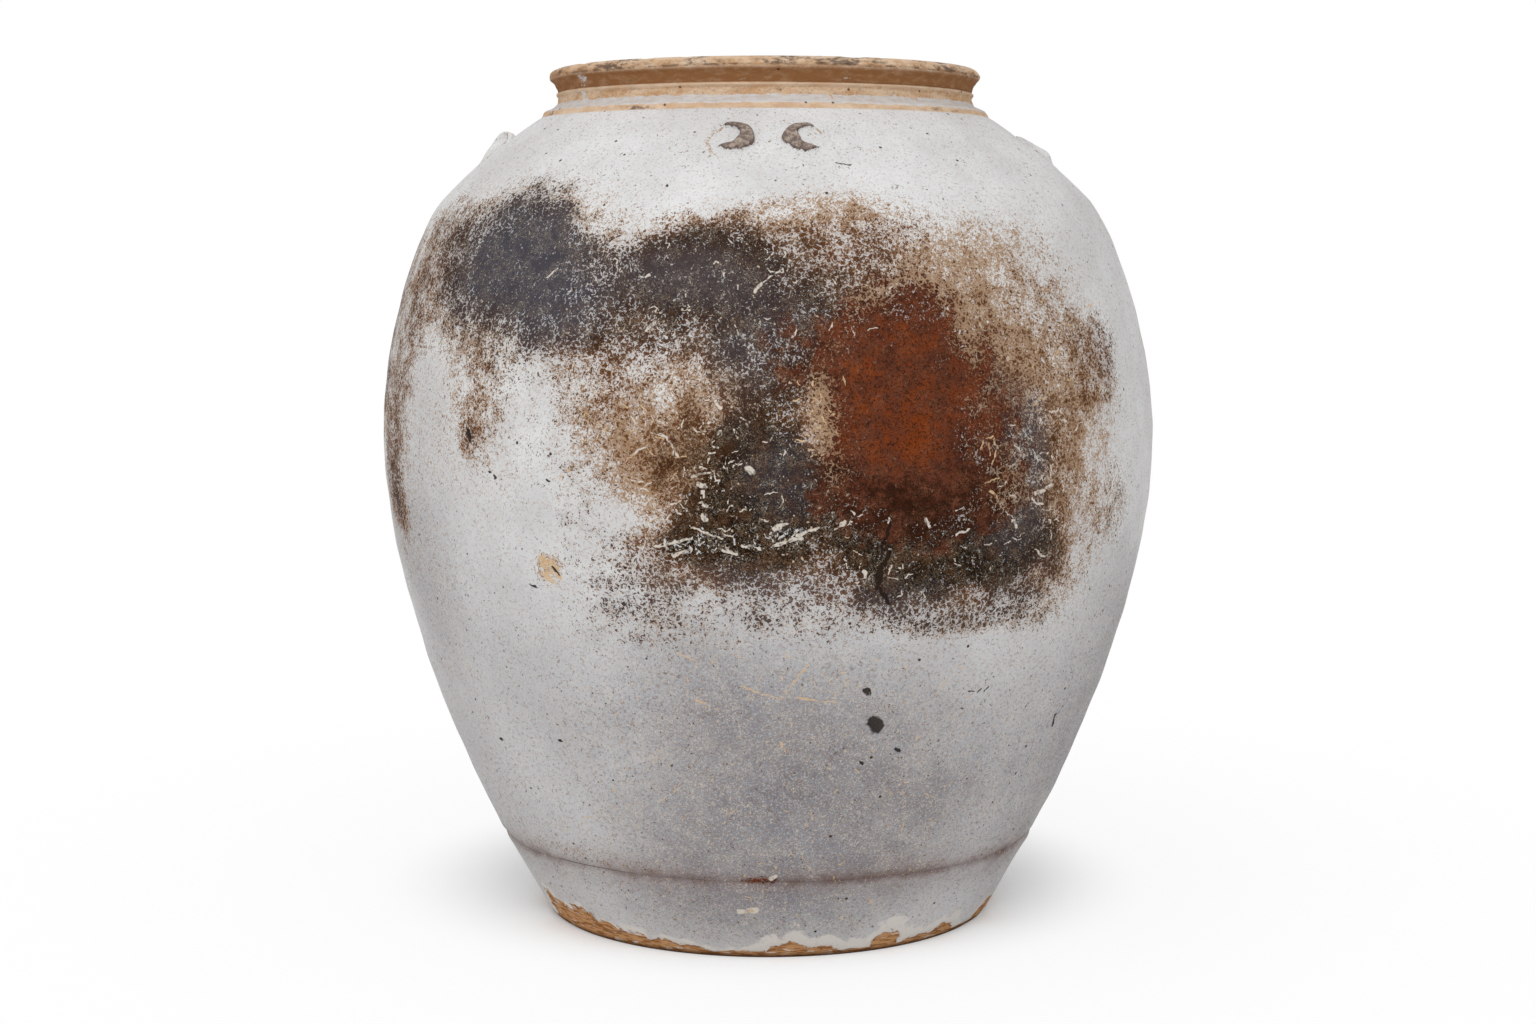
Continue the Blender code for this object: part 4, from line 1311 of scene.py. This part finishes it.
def pad_height(inward, up, seed, end, stump, soft):
    """The pad's height and how much of it is stump. inward points to the lug's middle."""
    chance = np.random.default_rng(seed)
    tilt = chance.uniform(-0.05, 0.25)
    level, up = inward, up - CRESCENT_UP
    inward = level * math.cos(tilt) - up * math.sin(tilt)
    up = level * math.sin(tilt) + up * math.cos(tilt)
    ragged = 0.30 * MM * np.sin(up / (1.9 * MM) + chance.uniform(0.0, 6.0))
    ragged = ragged + 0.20 * MM * np.sin(inward / (1.1 * MM) + up / (2.1 * MM))
    from_middle = np.hypot(inward, up)
    from_hollow = np.hypot(inward + CRESCENT_SHIFT, up * 1.05)
    crescent = eased(CRESCENT_OUTER - from_middle + ragged, -soft, soft)
    crescent = crescent * eased(from_hollow - CRESCENT_INNER + ragged, -soft, soft + 0.2 * MM)
    crescent = crescent * (eased(end * up, -13.0 * MM, 5.0 * MM) if end else 1.0)
    mound = MOUND_HEIGHT * (1.0 - eased(from_middle, 3.0 * MM, PAD_REACH))
    hollow = HOLLOW_DEPTH * bell(from_hollow, 5.4 * MM)
    break_face = stump * (1.0 + 0.18 * np.sin(up / (3.0 * MM) + chance.uniform(0.0, 6.0)))
    return mound - hollow + crescent * break_face * 0.72, crescent


def pad_faces():
    """Faces between a pad's rings, then a fan over its middle and one underneath."""
    index = np.arange(PAD_POINTS)
    after = (index + 1) % PAD_POINTS
    low = np.arange(PAD_RINGS - 1)[:, None] * PAD_POINTS
    high = low + PAD_POINTS
    quads = np.stack([low + index, high + index, high + after, low + after], axis=-1)
    middle = np.full(PAD_POINTS, PAD_RINGS * PAD_POINTS)
    last = (PAD_RINGS - 1) * PAD_POINTS
    over = np.column_stack([middle, index, after])
    under = np.column_stack([middle + 1, last + after, last + index])
    return quads.reshape(-1, 4).tolist() + np.stack([over, under], axis=1).reshape(-1, 3).tolist()


def lug_pad(name, shape, lug_angle, hand, seed):
    """One pad of a broken lug; hand is -1 left of the lug's middle and 1 right of it."""
    end, stump, soft, broken = shape
    turn = np.linspace(0.0, 2.0 * math.pi, PAD_POINTS, endpoint=False)
    reach = np.linspace(0.0, 1.0, PAD_RINGS)[1:] * PAD_REACH
    turn, reach = np.meshgrid(turn, reach)
    inward, up = reach * np.cos(turn), reach * np.sin(turn)
    lift, crescent = pad_height(inward, up, seed, end, stump, soft)
    lift = lift - PAD_SUNK * eased(reach, PAD_REACH * 0.86, PAD_REACH)
    sideways, climb = hand * (PAD_OFFSET - inward), LUG_UP_SLOPE + up
    top = on_shoulder(lug_angle, sideways, climb, lift)
    root = on_shoulder(lug_angle, sideways[-1], climb[-1], np.full(PAD_POINTS, PAD_ROOT))
    middle_lift, _ = pad_height(np.zeros(1), np.zeros(1), seed, end, stump, soft)
    middle_lift = np.append(middle_lift, PAD_ROOT)
    middles = on_shoulder(lug_angle, np.full(2, hand * PAD_OFFSET), np.full(2, LUG_UP_SLOPE), middle_lift)
    faces = pad_faces()
    if hand < 0:
        faces = [face[::-1] for face in faces]
    pad = new_piece(name, np.vstack([top.reshape(-1, 3), root, middles]), faces, [GLAZE])
    ring = bell(reach - 12.2 * MM, 1.1 * MM) * eased(-inward, 0.0, 8.0 * MM)
    paint_points(pad, scar=crescent * broken, ochre=0.75 * ring)
    return pad


# each lug: which end of the stump stands up, its height, how soft its edge is and how much is broken bare
LUG_SHAPES = {
    "front": (0.0, 3.4 * MM, 0.7 * MM, 1.0),
    "right": (-1.0, 2.6 * MM, 3.0 * MM, 0.30),
    "back": (0.0, 3.4 * MM, 0.7 * MM, 0.9),
    "left": (1.0, 5.2 * MM, 3.0 * MM, 0.30),
}
for lug, (side, shape) in enumerate(LUG_SHAPES.items()):
    for hand, letter in ((-1, "a"), (1, "b")):
        lug_angle = math.pi / 2.0 * lug + LUG_TURN
        pad = lug_pad(f"{side}_pad_{letter}", shape, lug_angle, hand, 10 * lug + hand + 5)
        stands_for(pad, f"{side}_lug_pad_{letter}")

# %% [markdown]
# ## Floor and light
#
# A white floor under a bright, even sky gives the soft product-photo light. The sky is brighter towards
# the top front, so the jar's sides fall off a little. The floor takes the jar's shade near the foot,
# and further away it melts into the white behind, so that no horizon shows.

# %% Lay the floor and light it
SKY_EVEN = 0.60
SKY_LOBE = 0.55
SKY_BRIGHT_WAY = (-0.10, -0.60, 0.79)
FLAG_START = 0.55
FLAG_SHADE = 0.40
FLOOR_SHADE_MIDDLE = (-0.005, 0.06, 0.0)
FLOOR_NEAR = 0.222
FLOOR_FAR = 0.70
FLOOR_LIFT = 0.83
FLOOR_HALF = 14.0
LAMP_SIZE = 2.0
LAMP_POWER = 11.0
LAMP_AIM = (0.0, 0.0, 0.25)

floor_mesh = bpy.data.meshes.new("floor")
floor_builder = bmesh.new()
bmesh.ops.create_grid(floor_builder, x_segments=2, y_segments=2, size=FLOOR_HALF)
floor_builder.to_mesh(floor_mesh)
floor_builder.free()
floor = bpy.data.objects.new("floor", floor_mesh)
bpy.context.scene.collection.objects.link(floor)


def floor_finish():
    """Matt white near the jar, plain white for the camera further away."""
    paint = Paint(bpy.data.materials.new("white_floor"))
    tone = paint.mix(paint.noise(0.4), shade(253, 253, 253), shade(255, 255, 255))
    matt = paint.add("ShaderNodeBsdfDiffuse", Color=tone)
    away = paint.arrow("LENGTH", paint.arrow("SUBTRACT", paint.place, FLOOR_SHADE_MIDDLE)).also("Value")
    seen = paint.add("ShaderNodeLightPath", None, "Is Camera Ray")
    near = away.step(BASE_RADIUS, FLOOR_NEAR, 0.0, FLOOR_LIFT)
    share = (near + away.step(FLOOR_NEAR, FLOOR_FAR, 0.0, 1.0 - FLOOR_LIFT)) * seen
    white = paint.add("ShaderNodeEmission", Strength=1.0)
    both = paint.add("ShaderNodeMixShader", _0=share, _1=matt, _2=white)
    paint.add("ShaderNodeOutputMaterial", Surface=both)
    return paint.holder


floor_mesh.materials.append(floor_finish())

sky = Paint(bpy.data.worlds.new("sky"), "Generated")
lobe = sky.arrow("DOT_PRODUCT", sky.place, SKY_BRIGHT_WAY).also("Value")
bright = sky.add("ShaderNodeMapRange", Value=lobe, To_Min=SKY_EVEN, To_Max=SKY_EVEN + SKY_LOBE)
sideways = abs(sky.add("ShaderNodeSeparateXYZ", Vector=sky.place))
flag = sky.add("ShaderNodeMapRange", Value=sideways, From_Min=FLAG_START, To_Min=1.0, To_Max=FLAG_SHADE)
seen = sky.add("ShaderNodeLightPath", None, "Is Camera Ray")
strength = sky.add("ShaderNodeMix", _0=seen, _2=flag * bright, _3=1.0)
light = sky.add("ShaderNodeBackground", Color=(1.0, 1.0, 1.0, 1.0), Strength=strength)
sky.add("ShaderNodeOutputWorld", Surface=light)
bpy.context.scene.world = sky.holder

lamp_data = bpy.data.lights.new("top_lamp", "AREA")
lamp_data.shape = "SQUARE"
lamp_data.size = LAMP_SIZE
lamp_data.energy = LAMP_POWER
lamp = bpy.data.objects.new("top_lamp", lamp_data)
lamp.location = (-0.5, -1.3, 2.0)
lamp.rotation_euler = (Vector(LAMP_AIM) - lamp.location).to_track_quat("-Z", "Y").to_euler()
bpy.context.scene.collection.objects.link(lamp)

bpy.context.scene.view_settings.view_transform = "Standard"
print(f"a floor, a sky and a lamp of {LAMP_POWER:.0f} W")
